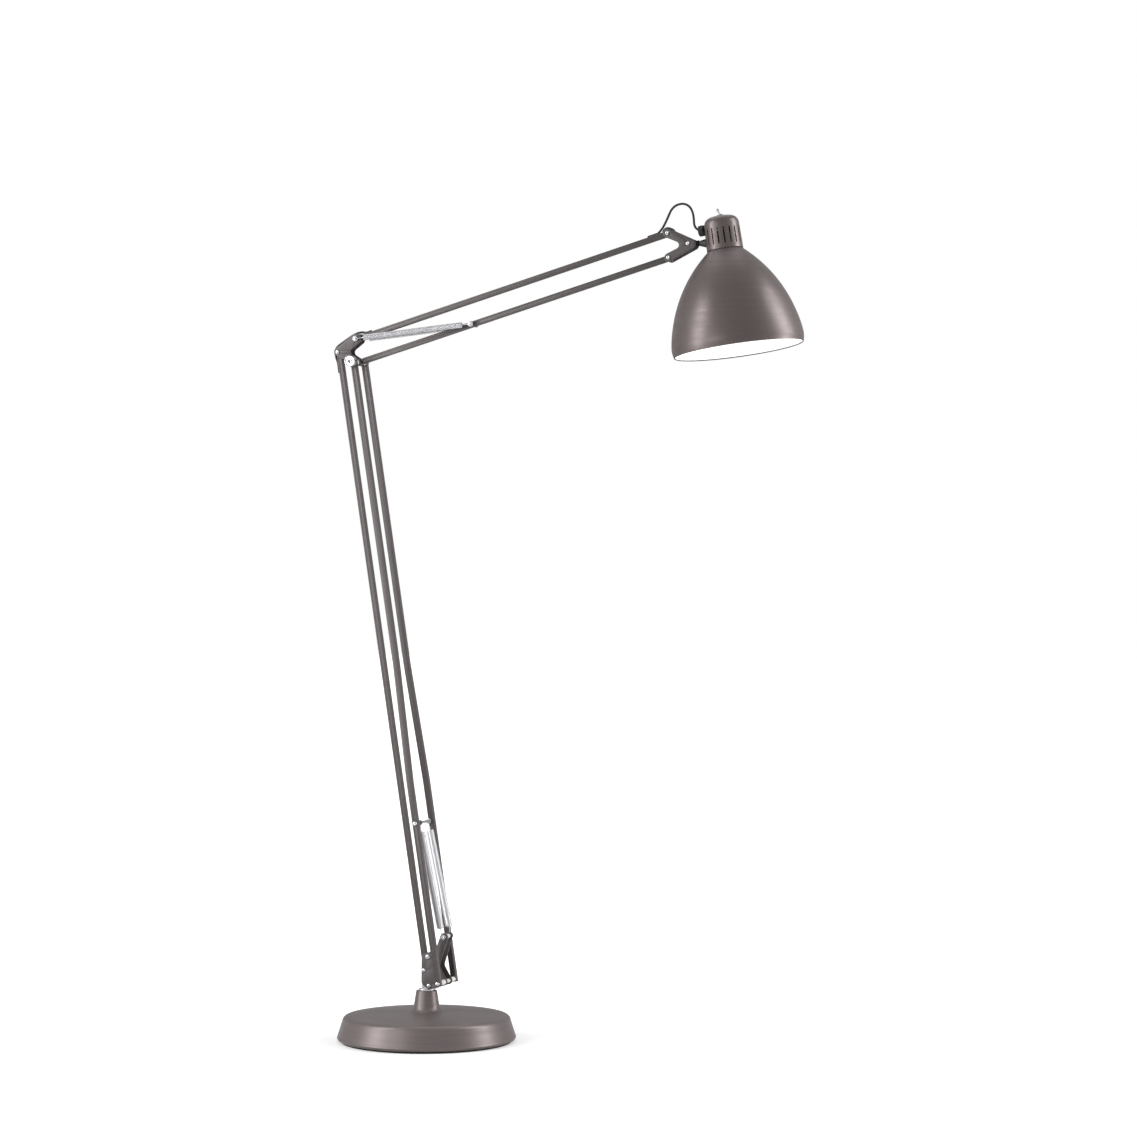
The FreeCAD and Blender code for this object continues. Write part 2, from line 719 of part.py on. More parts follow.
PLUG_SIDE = "(Sizes.tube_side - 2 * Sizes.tube_wall - Sizes.plug_play)"
PLUG_DEPTH = "(Sizes.tube_overhang - Sizes.pin_radius - 4 * Sizes.plug_play)"


def tube_plugs(origin, turn, length):
    """Two end plugs standing inside a tube's ends."""
    edge = f"-{PLUG_SIDE} / 2"
    top = f"({length} + Sizes.tube_overhang - {PLUG_DEPTH})"
    return join([
        slanted_box(origin, "0", turn, edge, edge, start, PLUG_SIDE, PLUG_SIDE, PLUG_DEPTH)
        for start in ("-Sizes.tube_overhang", top)
    ])


def lower_arm_parts():
    turn = "-Sizes.lower_lean"
    length = "Sizes.lower_length"
    node("rear_tube", square_tube("rear_tube_body", MAST_FOOT, turn, length, ("0", length), (MAST_PORT,)))
    node("rear_tube_plugs", tube_plugs(MAST_FOOT, turn, length))
    for label, side in (("front_bar_near", -1), ("front_bar_far", 1)):
        body = new_body(label + "_body")
        half = "Sizes.tube_side / 2"

        def strip(sketch, inset, reach):
            low = f"({side} * Sizes.bar_spread_low)"
            high = f"({side} * Sizes.bar_spread_high)"
            start = "Sizes.bar_joggle_start"
            stop = "Sizes.bar_joggle_end"
            outline(sketch, (
                (f"-{reach}", f"{low} - {inset}"), (start, f"{low} - {inset}"),
                (stop, f"{high} - {inset}"), (f"{length} + {reach}", f"{high} - {inset}"),
                (f"{length} + {reach}", f"{high} + {inset}"), (stop, f"{high} + {inset}"),
                (start, f"{low} + {inset}"), (f"-{reach}", f"{low} + {inset}"),
            ))

        flat = new_sketch(body, "XY_Plane")
        strip(flat, half, "Sizes.tube_overhang")
        pad(body, flat, "Sizes.tube_side")
        inner = new_sketch(body, "XY_Plane")
        strip(inner, "(Sizes.tube_side / 2 - Sizes.tube_wall)", "(Sizes.tube_overhang + 1)")
        pocket(body, inner, "Sizes.tube_side - 2 * Sizes.tube_wall")
        holes = new_sketch(body, "XZ_Plane")
        for reach in ("0", "Sizes.spring_bolt_reach", length):
            ring_hole(holes, reach, "0", HOLE)
        pocket(body, holes, "4 * Sizes.bar_spread_low")
        place(body, BAR_FOOT[0], "0", BAR_FOOT[1], "(-90 - Sizes.lower_lean)")
        node(label, body)
    plugs = []
    for sign in (-1, 1):
        for spread, start in (
            ("Sizes.bar_spread_low", "-Sizes.tube_overhang"),
            ("Sizes.bar_spread_high", f"({length} + Sizes.tube_overhang - {PLUG_DEPTH})"),
        ):
            corner = (f"-{PLUG_SIDE} / 2", f"({sign} * {spread} - {PLUG_SIDE} / 2)", start)
            plugs.append(slanted_box(BAR_FOOT, "0", turn, *corner, PLUG_SIDE, PLUG_SIDE, PLUG_DEPTH))
    node("front_bar_plugs", join(plugs))
    node("spring_bolt", join(through_pin(BAR_BOLT, "(Sizes.bar_spread_low + Sizes.tube_side / 2)")))


# Springs: plain end fittings and wound coils
def spring_turn(start, stop):
    """Turn about Y that points +Z from start to stop."""
    return f"atan2({stop[0]} - {start[0]}; {stop[1]} - {start[1]})"


def end_fittings(start, stop, spread, coil_radius, wire, from_start):
    """Eye, shank and plug at one end of a pair of springs."""
    bolt, other = (start, stop) if from_start else (stop, start)
    turn = spring_turn(bolt, other)
    eye_half = "Sizes.eye_thickness / 2"
    plug = f"({coil_radius} - {wire} / 2 - Sizes.moving_gap)"
    pieces = []
    for side in (-1, 1):
        middle = f"({side} * {spread})"
        shank = slanted(bolt, middle, turn, "Sizes.spring_end_reach + 1", f"({eye_half} - Sizes.seat_gap)")
        taper = slanted_cone(
            bolt, middle, turn, "Sizes.spring_plug_length", plug, f"({plug} - Sizes.spring_plug_taper)"
        )
        taper.setExpression(
            "Placement",
            f"placement(vector({bolt[0]}; {middle}; {bolt[1]}); rotation(vector(0; 1; 0); {turn}))"
            " * placement(vector(0; 0; Sizes.spring_end_reach); rotation(vector(0; 0; 1); 0))",
        )
        eye = rod(bolt, f"({middle} - {eye_half})", "Sizes.eye_thickness", "Sizes.eye_radius")
        hole = rod(bolt, f"({middle} - Sizes.eye_thickness)", "(2 * Sizes.eye_thickness)", HOLE)
        pieces.append(cut(join([shank, taper, eye]), [hole]))
    return join(pieces)


def biarc(a, heading_a, b, heading_b):
    """Two arcs that leave a along one heading and reach b along another."""
    v = b - a
    t = heading_a + heading_b
    dot = v.dot(t)
    spread = 2 * (1 - heading_a.dot(heading_b))
    if spread < 1e-9:
        reach = v.dot(v) / (4 * v.dot(heading_b))
    else:
        reach = (math.sqrt(dot * dot + spread * v.dot(v)) - dot) / spread
    first_knee = a + heading_a * reach
    last_knee = b - heading_b * reach
    middle = (first_knee + last_knee) * 0.5
    return [knee_arc(a, first_knee, middle), knee_arc(middle, last_knee, b)]


def knee_arc(start, knee, end):
    """Arc from start to end whose end tangents meet at the knee."""
    chord = end - start
    weight = chord.dot(knee - start) / (chord.Length * (knee - start).Length)
    top = (start + end + knee * (2 * weight)) * (1 / (2 + 2 * weight))
    return Part.Arc(start, top, end).toShape()


def coil_solid(radius, wire, low, high, turns):
    """Square-section wire wound about +Z from low to high."""
    rise = (high - low) / turns
    slope = rise / (2 * math.pi)

    def spot(angle):
        return Vector(radius * math.cos(angle), radius * math.sin(angle), low + slope * angle)

    def heading(angle):
        return Vector(-radius * math.sin(angle), radius * math.cos(angle), slope).normalize()

    edges = []
    quarters = int(round(turns * 4))
    for quarter in range(quarters):
        a = quarter * math.pi / 2
        b = a + math.pi / 2
        edges += biarc(spot(a), heading(a), spot(b), heading(b))
    path = Part.Wire(edges)
    out = Vector(1, 0, 0)
    side = heading(0).cross(out).normalize()
    half = wire / 2
    start = spot(0)
    marks = [start + out * (i * half) + side * (j * half) for i, j in ((1, 1), (-1, 1), (-1, -1), (1, -1))]
    section = Part.makePolygon(marks + [marks[0]])
    shell = Part.BRepOffsetAPI.MakePipeShell(path)
    shell.add(section)
    shell.build()
    shell.makeSolid()
    points = [spot(i * math.pi / 18) for i in range(int(turns * 36))]
    least = min(
        (points[i] - points[j]).Length
        for i in range(0, len(points), 3)
        for j in range(i + 18, min(len(points), i + 60))
    )
    return shell.shape(), least - wire * math.sqrt(2)


COIL_TURNS = 12


def coil_pair(label, start, stop, spread, coil_radius, wire):
    """Two coils between two bolts."""
    a = Vector(num(start[0]), 0, num(start[1]))
    b = Vector(num(stop[0]), 0, num(stop[1]))
    reach = num("Sizes.spring_end_reach")
    length = (b - a).Length
    half = num(wire) / 2
    solid, least = coil_solid(num(coil_radius), num(wire), reach + half, length - reach - half, COIL_TURNS)
    print(label, "least gap between turns", round(least, 2), "mm")
    angle = math.degrees(math.atan2(b.x - a.x, b.z - a.z))
    solids = []
    for side in (-1, 1):
        copy = solid.copy()
        copy.Placement = Placement(Vector(a.x, side * num(spread), a.z), Rotation(Vector(0, 1, 0), angle))
        solids.append(copy)
    feature = doc.addObject("Part::Feature", label + "_shape")
    feature.Shape = Part.makeCompound(solids)
    return feature


def spring_parts():
    low = (HORN, BAR_BOLT, "Sizes.lower_spring_spread", "Sizes.lower_coil_radius", "Sizes.lower_wire")
    high = (ARM_ROOT, STAY_BOLT, "Sizes.upper_spring_spread", "Sizes.upper_coil_radius", "Sizes.upper_wire")
    for stem, pair in (("lower", low), ("upper", high)):
        node(stem + "_coils", coil_pair(stem + "_coils", *pair))
        node(stem + "_coil_anchors", end_fittings(*pair, True))
        node(stem + "_coil_hooks", end_fittings(*pair, False))


# Elbow between the two arms
def link_washers(point):
    """Two washers between a tube and the link plates."""
    thick = f"(Sizes.link_plate_inside - {TUBE_HALF} - Sizes.side_gap - Sizes.seat_gap)"
    return collar_pair(point, f"({TUBE_HALF} + Sizes.side_gap)", thick, "Sizes.washer_radius", HOLE)


def hexagon(point, y, length, radius):
    """Six-sided prism along +Y."""
    obj = bind(doc.addObject("Part::Prism", fresh("nut")), Circumradius=radius, Height=length)
    return place(obj, point[0], y, point[1], "-90", "1; 0; 0")


def elbow_parts():
    lobes = (
        (MAST_TOP[0], MAST_TOP[1], "Sizes.elbow_lobe_mast", 1),
        (BAR_TOP[0], BAR_TOP[1], "Sizes.elbow_lobe_bar", 1),
        (f"{BAR_TOP[0]} - 8", f"{BAR_TOP[1]} + 24", "8", -1),
        (ARM_ROOT[0], ARM_ROOT[1], "Sizes.elbow_lobe_arm", 1),
    )
    holes = (MAST_TOP, BAR_TOP, ARM_ROOT)
    inside = "Sizes.link_plate_inside"
    node("elbow_plate_near", link_plate("elbow_near", lobes, holes, inside, -1))
    node("elbow_plate_far", link_plate("elbow_far", lobes, holes, inside, 1))
    outer = "(Sizes.link_plate_inside + Sizes.plate_thickness)"
    eye_head = f"({eye_outside('upper')} + 3 * Sizes.side_gap)"
    node("elbow_pins", join(through_pin(MAST_TOP, outer) + through_pin(ARM_ROOT, eye_head)))
    washers = []
    for point in holes:
        washers += link_washers(point)
    start = f"({outer} + Sizes.seat_gap)"
    eye_gap = f"({eye_inside('upper')} - Sizes.side_gap - {start})"
    washers += collar_pair(ARM_ROOT, start, eye_gap, "Sizes.sleeve_radius", HOLE)
    bar_in = f"(Sizes.bar_spread_high - {TUBE_HALF})"
    bar_out = f"(Sizes.bar_spread_high + {TUBE_HALF})"
    sleeve_length = f"({bar_in} - Sizes.moving_gap - {start})"
    sleeves = collar_pair(BAR_TOP, start, sleeve_length, "Sizes.axle_sleeve_radius", HOLE)
    node("elbow_spacers", join(washers + sleeves))
    axle_end = "(0 - Sizes.knob_standoff - Sizes.knob_length / 2)"
    clear = "(2 * Sizes.side_gap)"
    nut = hexagon(BAR_TOP, f"({bar_out} + {clear})", "Sizes.nut_height", "Sizes.nut_radius")
    shaft = rod(BAR_TOP, axle_end, f"({bar_out} + Sizes.nut_height - {axle_end})", "Sizes.pin_radius")
    node("elbow_axle", join([shaft, nut]))
    disc_end = "(0 - Sizes.knob_standoff - Sizes.knob_length)"
    disc = rod(BAR_TOP, disc_end, "Sizes.knob_length", "Sizes.knob_radius")
    boss_length = f"(Sizes.knob_standoff - {bar_out} - {clear})"
    boss = rod(BAR_TOP, "(0 - Sizes.knob_standoff)", boss_length, "Sizes.knob_boss_radius")
    bore_end = f"({axle_end} - 5 * Sizes.side_gap)"
    bore = rod(BAR_TOP, bore_end, f"(0 - {bore_end})", HOLE)
    node("elbow_knob", cut(join([disc, boss]), [bore]))


# Upper arm
def upper_arm_parts():
    turn = "(90 - Sizes.upper_rise)"
    length = "Sizes.upper_length"
    ports = (ROOT_PORT, TIP_PORT)
    node("upper_tube", square_tube("upper_tube_body", ARM_ROOT, turn, length, ("0", length), ports))
    node("upper_tube_plugs", tube_plugs(ARM_ROOT, turn, length))
    bores = ("0", "Sizes.upper_bolt_reach", length)
    node("stay_tube", square_tube("stay_tube_body", BAR_TOP, turn, length, bores))
    node("stay_tube_plugs", tube_plugs(BAR_TOP, turn, length))
    node("stay_bolt", join(through_pin(STAY_BOLT, f"({eye_outside('upper')} + 3 * Sizes.side_gap)")))
    start = f"({TUBE_HALF} + Sizes.seat_gap)"
    gap = f"({eye_inside('upper')} - Sizes.side_gap - {start})"
    node("stay_bolt_sleeves", join(collar_pair(STAY_BOLT, start, gap, "Sizes.sleeve_radius", HOLE)))


# Head bracket, tilt joint and head
def head_bracket_parts():
    tip = shift(TILT, "7", "-2")
    notch = shift(TILT, "-29", "-3")
    lobes = (
        (STAY_TIP[0], STAY_TIP[1], "Sizes.head_lobe_stay", 1),
        (tip[0], tip[1], "Sizes.head_lobe_tilt", 1),
        (ARM_TIP[0], ARM_TIP[1], "Sizes.head_lobe_arm", 1),
        (notch[0], notch[1], "8", -1),
    )
    holes = (STAY_TIP, ARM_TIP, TILT)
    inside = "Sizes.link_plate_inside"
    node("head_plate_near", link_plate("head_near", lobes, holes, inside, -1))
    node("head_plate_far", link_plate("head_far", lobes, holes, inside, 1))
    outer = "(Sizes.link_plate_inside + Sizes.plate_thickness)"
    pins = through_pin(ARM_TIP, outer) + through_pin(STAY_TIP, outer) + through_pin(TILT, outer)
    node("head_washers", join(link_washers(ARM_TIP) + link_washers(STAY_TIP)))
    rivet = shift(TILT, "12.5", "-4.2")
    head = ("Sizes.rivet_head_height", "Sizes.rivet_head_radius", "(2 * Sizes.rivet_head_radius / 3)")
    rivets = [cone_rod(rivet, outer, *head), cone_rod(rivet, f"(0 - {outer})", *head, -1)]
    node("head_pins", join(pins + rivets))


def in_head(out, up):
    """A point given in the shade's own axes, from the middle of its rim."""
    return (
        f"({RIM[0]} + {out} * cos({HEAD_LEAN}) - {up} * sin({HEAD_LEAN}))",
        f"({RIM[1]} + {out} * sin({HEAD_LEAN}) + {up} * cos({HEAD_LEAN}))",
    )


CAP_BOTTOM = "(Sizes.shade_top_height + Sizes.cap_seat)"
CAP_SIDE = f"({CAP_BOTTOM} + Sizes.cap_side_rise)"
CAP_TOP = f"({CAP_BOTTOM} + Sizes.cap_rise)"
HOLDER_BOTTOM = "(Sizes.shade_top_height - Sizes.holder_drop)"
BULB_CENTRE = f"({HOLDER_BOTTOM} - Sizes.bulb_drop)"
GLAND_HEIGHT = "(Sizes.shade_top_height + Sizes.gland_rise)"


def head_parts():
    inside = "(Sizes.link_plate_inside - Sizes.moving_gap)"
    eye = rod(TILT, f"(0 - {inside})", f"(2 * {inside})", "Sizes.knuckle_radius")
    neck_corner = ("0", "(0 - Sizes.knuckle_neck_width / 2)", "(0 - Sizes.knuckle_neck_height / 2)")
    neck_length = "Sizes.knuckle_neck + Sizes.knuckle_flange / 2"
    neck_sides = ("Sizes.knuckle_neck_width", "Sizes.knuckle_neck_height")
    neck = slanted_box(TILT, "0", "0", *neck_corner, neck_length, *neck_sides)
    flange_start = shift(TILT, "Sizes.knuckle_neck", "0")
    flange = slanted(flange_start, "0", "90", "Sizes.knuckle_flange", "Sizes.knuckle_flange_radius")
    stem_length = "(Sizes.knuckle_flange + Sizes.stem_length)"
    stem = slanted(flange_start, "0", "90", stem_length, "Sizes.stem_radius")
    hole = rod(TILT, f"(0 - 2 * {inside})", f"(4 * {inside})", HOLE)
    node("tilt_knuckle", cut(join([eye, neck, flange, stem]), [hole]))

    turn = "(0 - Sizes.head_lean)"
    body = new_body("shade_body")
    sketch = new_sketch(body, "XZ_Plane")
    sheet = "Sizes.shade_sheet"
    top = "Sizes.shade_top_height"
    neck_height = f"({top} - Sizes.shade_neck_drop)"
    outline(sketch, (
        ("Sizes.shade_rim_radius", "0", "Sizes.shade_rim_round", 1),
        ("Sizes.shade_widest_radius", "Sizes.shade_widest_height", "Sizes.shade_flank_round", 1),
        ("Sizes.shade_flank_radius", "Sizes.shade_flank_height", "Sizes.shade_bell_round", 1),
        ("Sizes.shade_neck_radius", neck_height),
        ("Sizes.cap_bottom_radius - Sizes.shade_sheet", top),
        ("Sizes.shade_bore", top),
        ("Sizes.shade_bore", f"{top} - {sheet}"),
        (f"Sizes.cap_bottom_radius - 2 * {sheet}", f"{top} - {sheet}"),
        (f"Sizes.shade_neck_radius - {sheet}", f"{neck_height} - {sheet}", "Sizes.shade_bell_round", -1),
        (f"Sizes.shade_flank_radius - {sheet}", f"Sizes.shade_flank_height - {sheet} / 2",
         "Sizes.shade_flank_round", -1),
        (f"Sizes.shade_widest_radius - {sheet}", "Sizes.shade_widest_height", "Sizes.shade_rim_round", -1),
        (f"Sizes.shade_rim_radius - {sheet}", "0"),
    ))
    turned(body, sketch)
    place(body, RIM[0], "0", RIM[1], turn)
    node("shade", body)

    cap = new_body("cap_body")
    profile = new_sketch(cap, "XZ_Plane")
    wall = "Sizes.cap_wall"
    thread_hole = "(Sizes.switch_radius + Sizes.side_gap)"
    outline(profile, (
        ("Sizes.cap_bottom_radius", CAP_BOTTOM),
        ("Sizes.cap_side_radius", CAP_SIDE, "Sizes.cap_round", 1),
        ("Sizes.cap_top_radius", CAP_TOP),
        (thread_hole, CAP_TOP),
        (thread_hole, f"{CAP_TOP} - {wall}"),
        (f"Sizes.cap_top_radius - {wall} / 2", f"{CAP_TOP} - {wall}", f"Sizes.cap_round - {wall} / 2", -1),
        (f"Sizes.cap_side_radius - {wall}", f"{CAP_SIDE} - {wall} / 2"),
        (f"Sizes.cap_bottom_radius - {wall}", CAP_BOTTOM),
    ))
    turned(cap, profile)
    slot = new_sketch(cap, "XZ_Plane")
    half = "Sizes.slot_width / 2"
    lower = f"({CAP_BOTTOM} + Sizes.slot_rise)"
    upper = f"({lower} + Sizes.slot_height)"
    outline(slot, ((f"-{half}", lower), (half, lower), (half, upper), (f"-{half}", upper)))
    slots = pocket(cap, slot, "4 * Sizes.cap_bottom_radius")
    pattern = cap.newObject("PartDesign::PolarPattern", "vent_pattern")
    pattern.Originals = [slots]
    pattern.Axis = (plane_of(cap, "Z_Axis"), [""])
    pattern.Occurrences = round(180 / num("Sizes.slot_pitch"))
    pattern.Angle = 180 - num("Sizes.slot_pitch")
    cap.Tip = pattern
    place(cap, RIM[0], "0", RIM[1], turn)
    gland_turn = "(90 - Sizes.head_lean)"
    gland_play = "(Sizes.gland_neck_radius + Sizes.seat_gap)"
    gland_out = in_head("(0 - Sizes.gland_stand - Sizes.gland_length)", GLAND_HEIGHT)
    gland_reach = "(Sizes.gland_length + 5 * Sizes.cap_wall)"
    gland_bore = slanted(gland_out, "0", gland_turn, f"({gland_reach} + Sizes.cap_wall)", gland_play)
    node("lamp_cap", cut(cap, [gland_bore]))
    nose = slanted(gland_out, "0", gland_turn, "Sizes.gland_length", "Sizes.gland_radius")
    neck_piece = slanted(gland_out, "0", gland_turn, gland_reach, "Sizes.gland_neck_radius")
    hollow = slanted(
        in_head("(0 - 2 * Sizes.gland_stand)", GLAND_HEIGHT), "0", gland_turn, "(2 * Sizes.gland_stand)",
        "(Sizes.cable_radius + Sizes.moving_gap)",
    )
    node("cable_gland", cut(join([nose, neck_piece]), [hollow]))

    arm_start = shift(TILT, "(Sizes.knuckle_neck + Sizes.knuckle_flange + Sizes.moving_gap)", "0")
    arm_radii = ("Sizes.arm_root_radius", "Sizes.arm_flare_radius")
    arm = slanted_cone(arm_start, "0", "90", "Sizes.arm_length", *arm_radii)
    saddle_start = shift(arm_start, "Sizes.arm_length - Sizes.seat_gap", "0")
    saddle = slanted(saddle_start, "0", "90", "Sizes.arm_saddle_length", "Sizes.arm_flare_radius")
    bore_length = f"({stem_length} + Sizes.moving_gap)"
    bore = slanted(flange_start, "0", "90", bore_length, "Sizes.stem_radius + Sizes.fit_clearance")
    shell_radii = ("Sizes.cap_bottom_radius", "Sizes.cap_side_radius")
    shell = slanted_cone(in_head("0", CAP_BOTTOM), "0", turn, "Sizes.cap_side_rise", *shell_radii)
    below = slanted(in_head("0", "(Sizes.shade_top_height / 2)"), "0", turn,
                    f"({CAP_BOTTOM} - Sizes.shade_top_height / 2)", "Sizes.cap_bottom_radius")
    node("head_arm", cut(join([arm, saddle]), [bore, shell, below]))

    nut = bind(
        doc.addObject("Part::Prism", fresh("nut")), Circumradius="Sizes.switch_nut_radius",
        Height="Sizes.switch_nut_height",
    )
    cap_top = in_head("0", CAP_TOP)
    place(nut, cap_top[0], "0", cap_top[1], turn)
    thread_foot = in_head("0", f"({CAP_TOP} - Sizes.switch_thread_drop)")
    thread_length = "(Sizes.switch_thread_drop + Sizes.switch_thread_rise)"
    nut_bore = slanted(thread_foot, "0", turn, f"(2 * {thread_length})", "Sizes.switch_radius")
    node("switch_nut", cut(nut, [nut_bore]))
    barrel = slanted(thread_foot, "0", turn, thread_length, "Sizes.switch_radius")
    case = slanted_box(
        thread_foot, "0", turn, "(0 - Sizes.switch_case_length / 2)", "(0 - Sizes.switch_case_width / 2)",
        "(2 - Sizes.switch_case_height)", "Sizes.switch_case_length", "Sizes.switch_case_width",
        "Sizes.switch_case_height",
    )
    lever_foot = in_head("0", f"({CAP_TOP} + Sizes.lever_pivot_rise)")
    socket = slanted_cone(lever_foot, "0", turn, "(2.5 * Sizes.lever_ball_radius)", "3", "8")
    seat = ball(lever_foot, "Sizes.lever_ball_radius + Sizes.fit_clearance")
    pin_half = "(Sizes.lever_pin_half + Sizes.side_gap)"
    pin_bore_radius = "Sizes.lever_pin_radius + Sizes.fit_clearance"
    pin_bore = rod(lever_foot, f"(0 - {pin_half})", f"(2 * {pin_half})", pin_bore_radius)
    node("switch_body", cut(join([barrel, case]), [socket, seat, pin_bore]))
    lever_turn = "(0 - Sizes.head_lean - Sizes.switch_lean)"
    bat = slanted_cone(
        lever_foot, "0", lever_turn, "Sizes.lever_length", "Sizes.lever_root_radius", "Sizes.lever_tip_radius"
    )
    pivot_length = "(2 * Sizes.lever_pin_half)"
    pivot = rod(lever_foot, "(0 - Sizes.lever_pin_half)", pivot_length, "Sizes.lever_pin_radius")
    node("switch_lever", join([bat, ball(lever_foot, "Sizes.lever_ball_radius"), pivot]))

    bridge_corner = ("(0 - Sizes.bridge_length / 2)", "(0 - Sizes.bridge_width / 2)", "0")
    bridge_sides = ("Sizes.bridge_length", "Sizes.bridge_width", "Sizes.bridge_thickness")
    bridge = slanted_box(in_head("0", CAP_BOTTOM), "0", turn, *bridge_corner, *bridge_sides)
    node("holder_bridge", bridge)
    holder = slanted(
        in_head("0", HOLDER_BOTTOM), "0", turn, "(Sizes.holder_drop + Sizes.cap_seat)", "Sizes.holder_radius"
    )
    bore_foot = in_head("0", f"({HOLDER_BOTTOM} - 1)")
    holder_bore = slanted(bore_foot, "0", turn, "(Sizes.holder_bore_depth + 1)", "Sizes.holder_bore_radius")
    node("lamp_holder", cut(holder, [holder_bore]))
    skirt_foot = f"({top} - {sheet} - Sizes.shade_ring_drop)"
    skirt = slanted(in_head("0", skirt_foot), "0", turn, "(Sizes.shade_ring_drop - Sizes.seat_gap)",
                    "Sizes.shade_ring_radius")
    skirt_bore = slanted(in_head("0", f"({skirt_foot} - 1)"), "0", turn, "(2 * Sizes.holder_drop)",
                         "Sizes.holder_radius + Sizes.seat_gap")
    node("shade_ring", cut(skirt, [skirt_bore]))

    bulb = new_body("bulb_body")
    glass = new_sketch(bulb, "XZ_Plane")
    cap_foot = f"({HOLDER_BOTTOM} + 2)"
    cap_end = f"({HOLDER_BOTTOM} + Sizes.bulb_cap_length)"
    outline(glass, (
        ("0", f"({BULB_CENTRE} - Sizes.bulb_radius)", "Sizes.bulb_radius", 1),
        ("Sizes.bulb_radius", BULB_CENTRE, "Sizes.bulb_shoulder_round", 1),
        ("Sizes.bulb_shoulder_radius", f"({BULB_CENTRE} + Sizes.bulb_shoulder_rise)"),
        ("Sizes.bulb_cap_radius", cap_foot),
        ("Sizes.bulb_cap_radius", cap_end),
        ("0", cap_end),
    ))
    turned(bulb, glass)
    place(bulb, RIM[0], "0", RIM[1], turn)
    node("bulb", bulb)


# Cables: straight runs joined by tangent arcs
def cable_halves(labels, points, radius, split):
    """Round cable along a line of points with rounded corners, in two halves parted in one run."""
    spots = list(points)
    halves = [[], []]
    edges = halves[0]
    start = spots[0]
    for i in range(1, len(spots) - 1):
        before = spots[i] - spots[i - 1]
        after = spots[i + 1] - spots[i]
        turn = before.getAngle(after)
        reach = 0.45 * min(before.Length, after.Length)
        bend = reach / math.tan(turn / 2)
        print(labels[0], "bend radius", round(bend, 1), "mm")
        first = spots[i] - before.normalize() * reach
        last = spots[i] + after.normalize() * reach
        if i == split + 1:
            parting = (start + first) * 0.5
            edges.append(Part.LineSegment(start, parting).toShape())
            edges = halves[1]
            start = parting
        edges.append(Part.LineSegment(start, first).toShape())
        edges.append(knee_arc(first, spots[i], last))
        start = last
    edges.append(Part.LineSegment(start, spots[-1]).toShape())
    for label, run in zip(labels, halves):
        path = Part.Wire(run)
        print(label, "length", round(path.Length, 1), "mm")
        first_edge = run[0]
        direction = first_edge.tangentAt(first_edge.FirstParameter)
        origin = first_edge.valueAt(first_edge.FirstParameter)
        section = Part.Wire(Part.makeCircle(radius, origin, direction))
        shell = Part.BRepOffsetAPI.MakePipeShell(path)
        shell.add(section)
        shell.build()
        shell.makeSolid()
        feature = doc.addObject("Part::Feature", label + "_shape")
        feature.Shape = shell.shape()
        node(label, feature)


def cable_channel(labels):
    """The same run as a tool that opens a way through a grommet."""
    channel = doc.addObject("Part::Feature", fresh("channel"))
    shapes = [obj.Shape for name, obj in nodes if name in labels]
    channel.Shape = shapes[0].fuse(shapes[1:]) if len(shapes) > 1 else shapes[0].copy()
    return channel


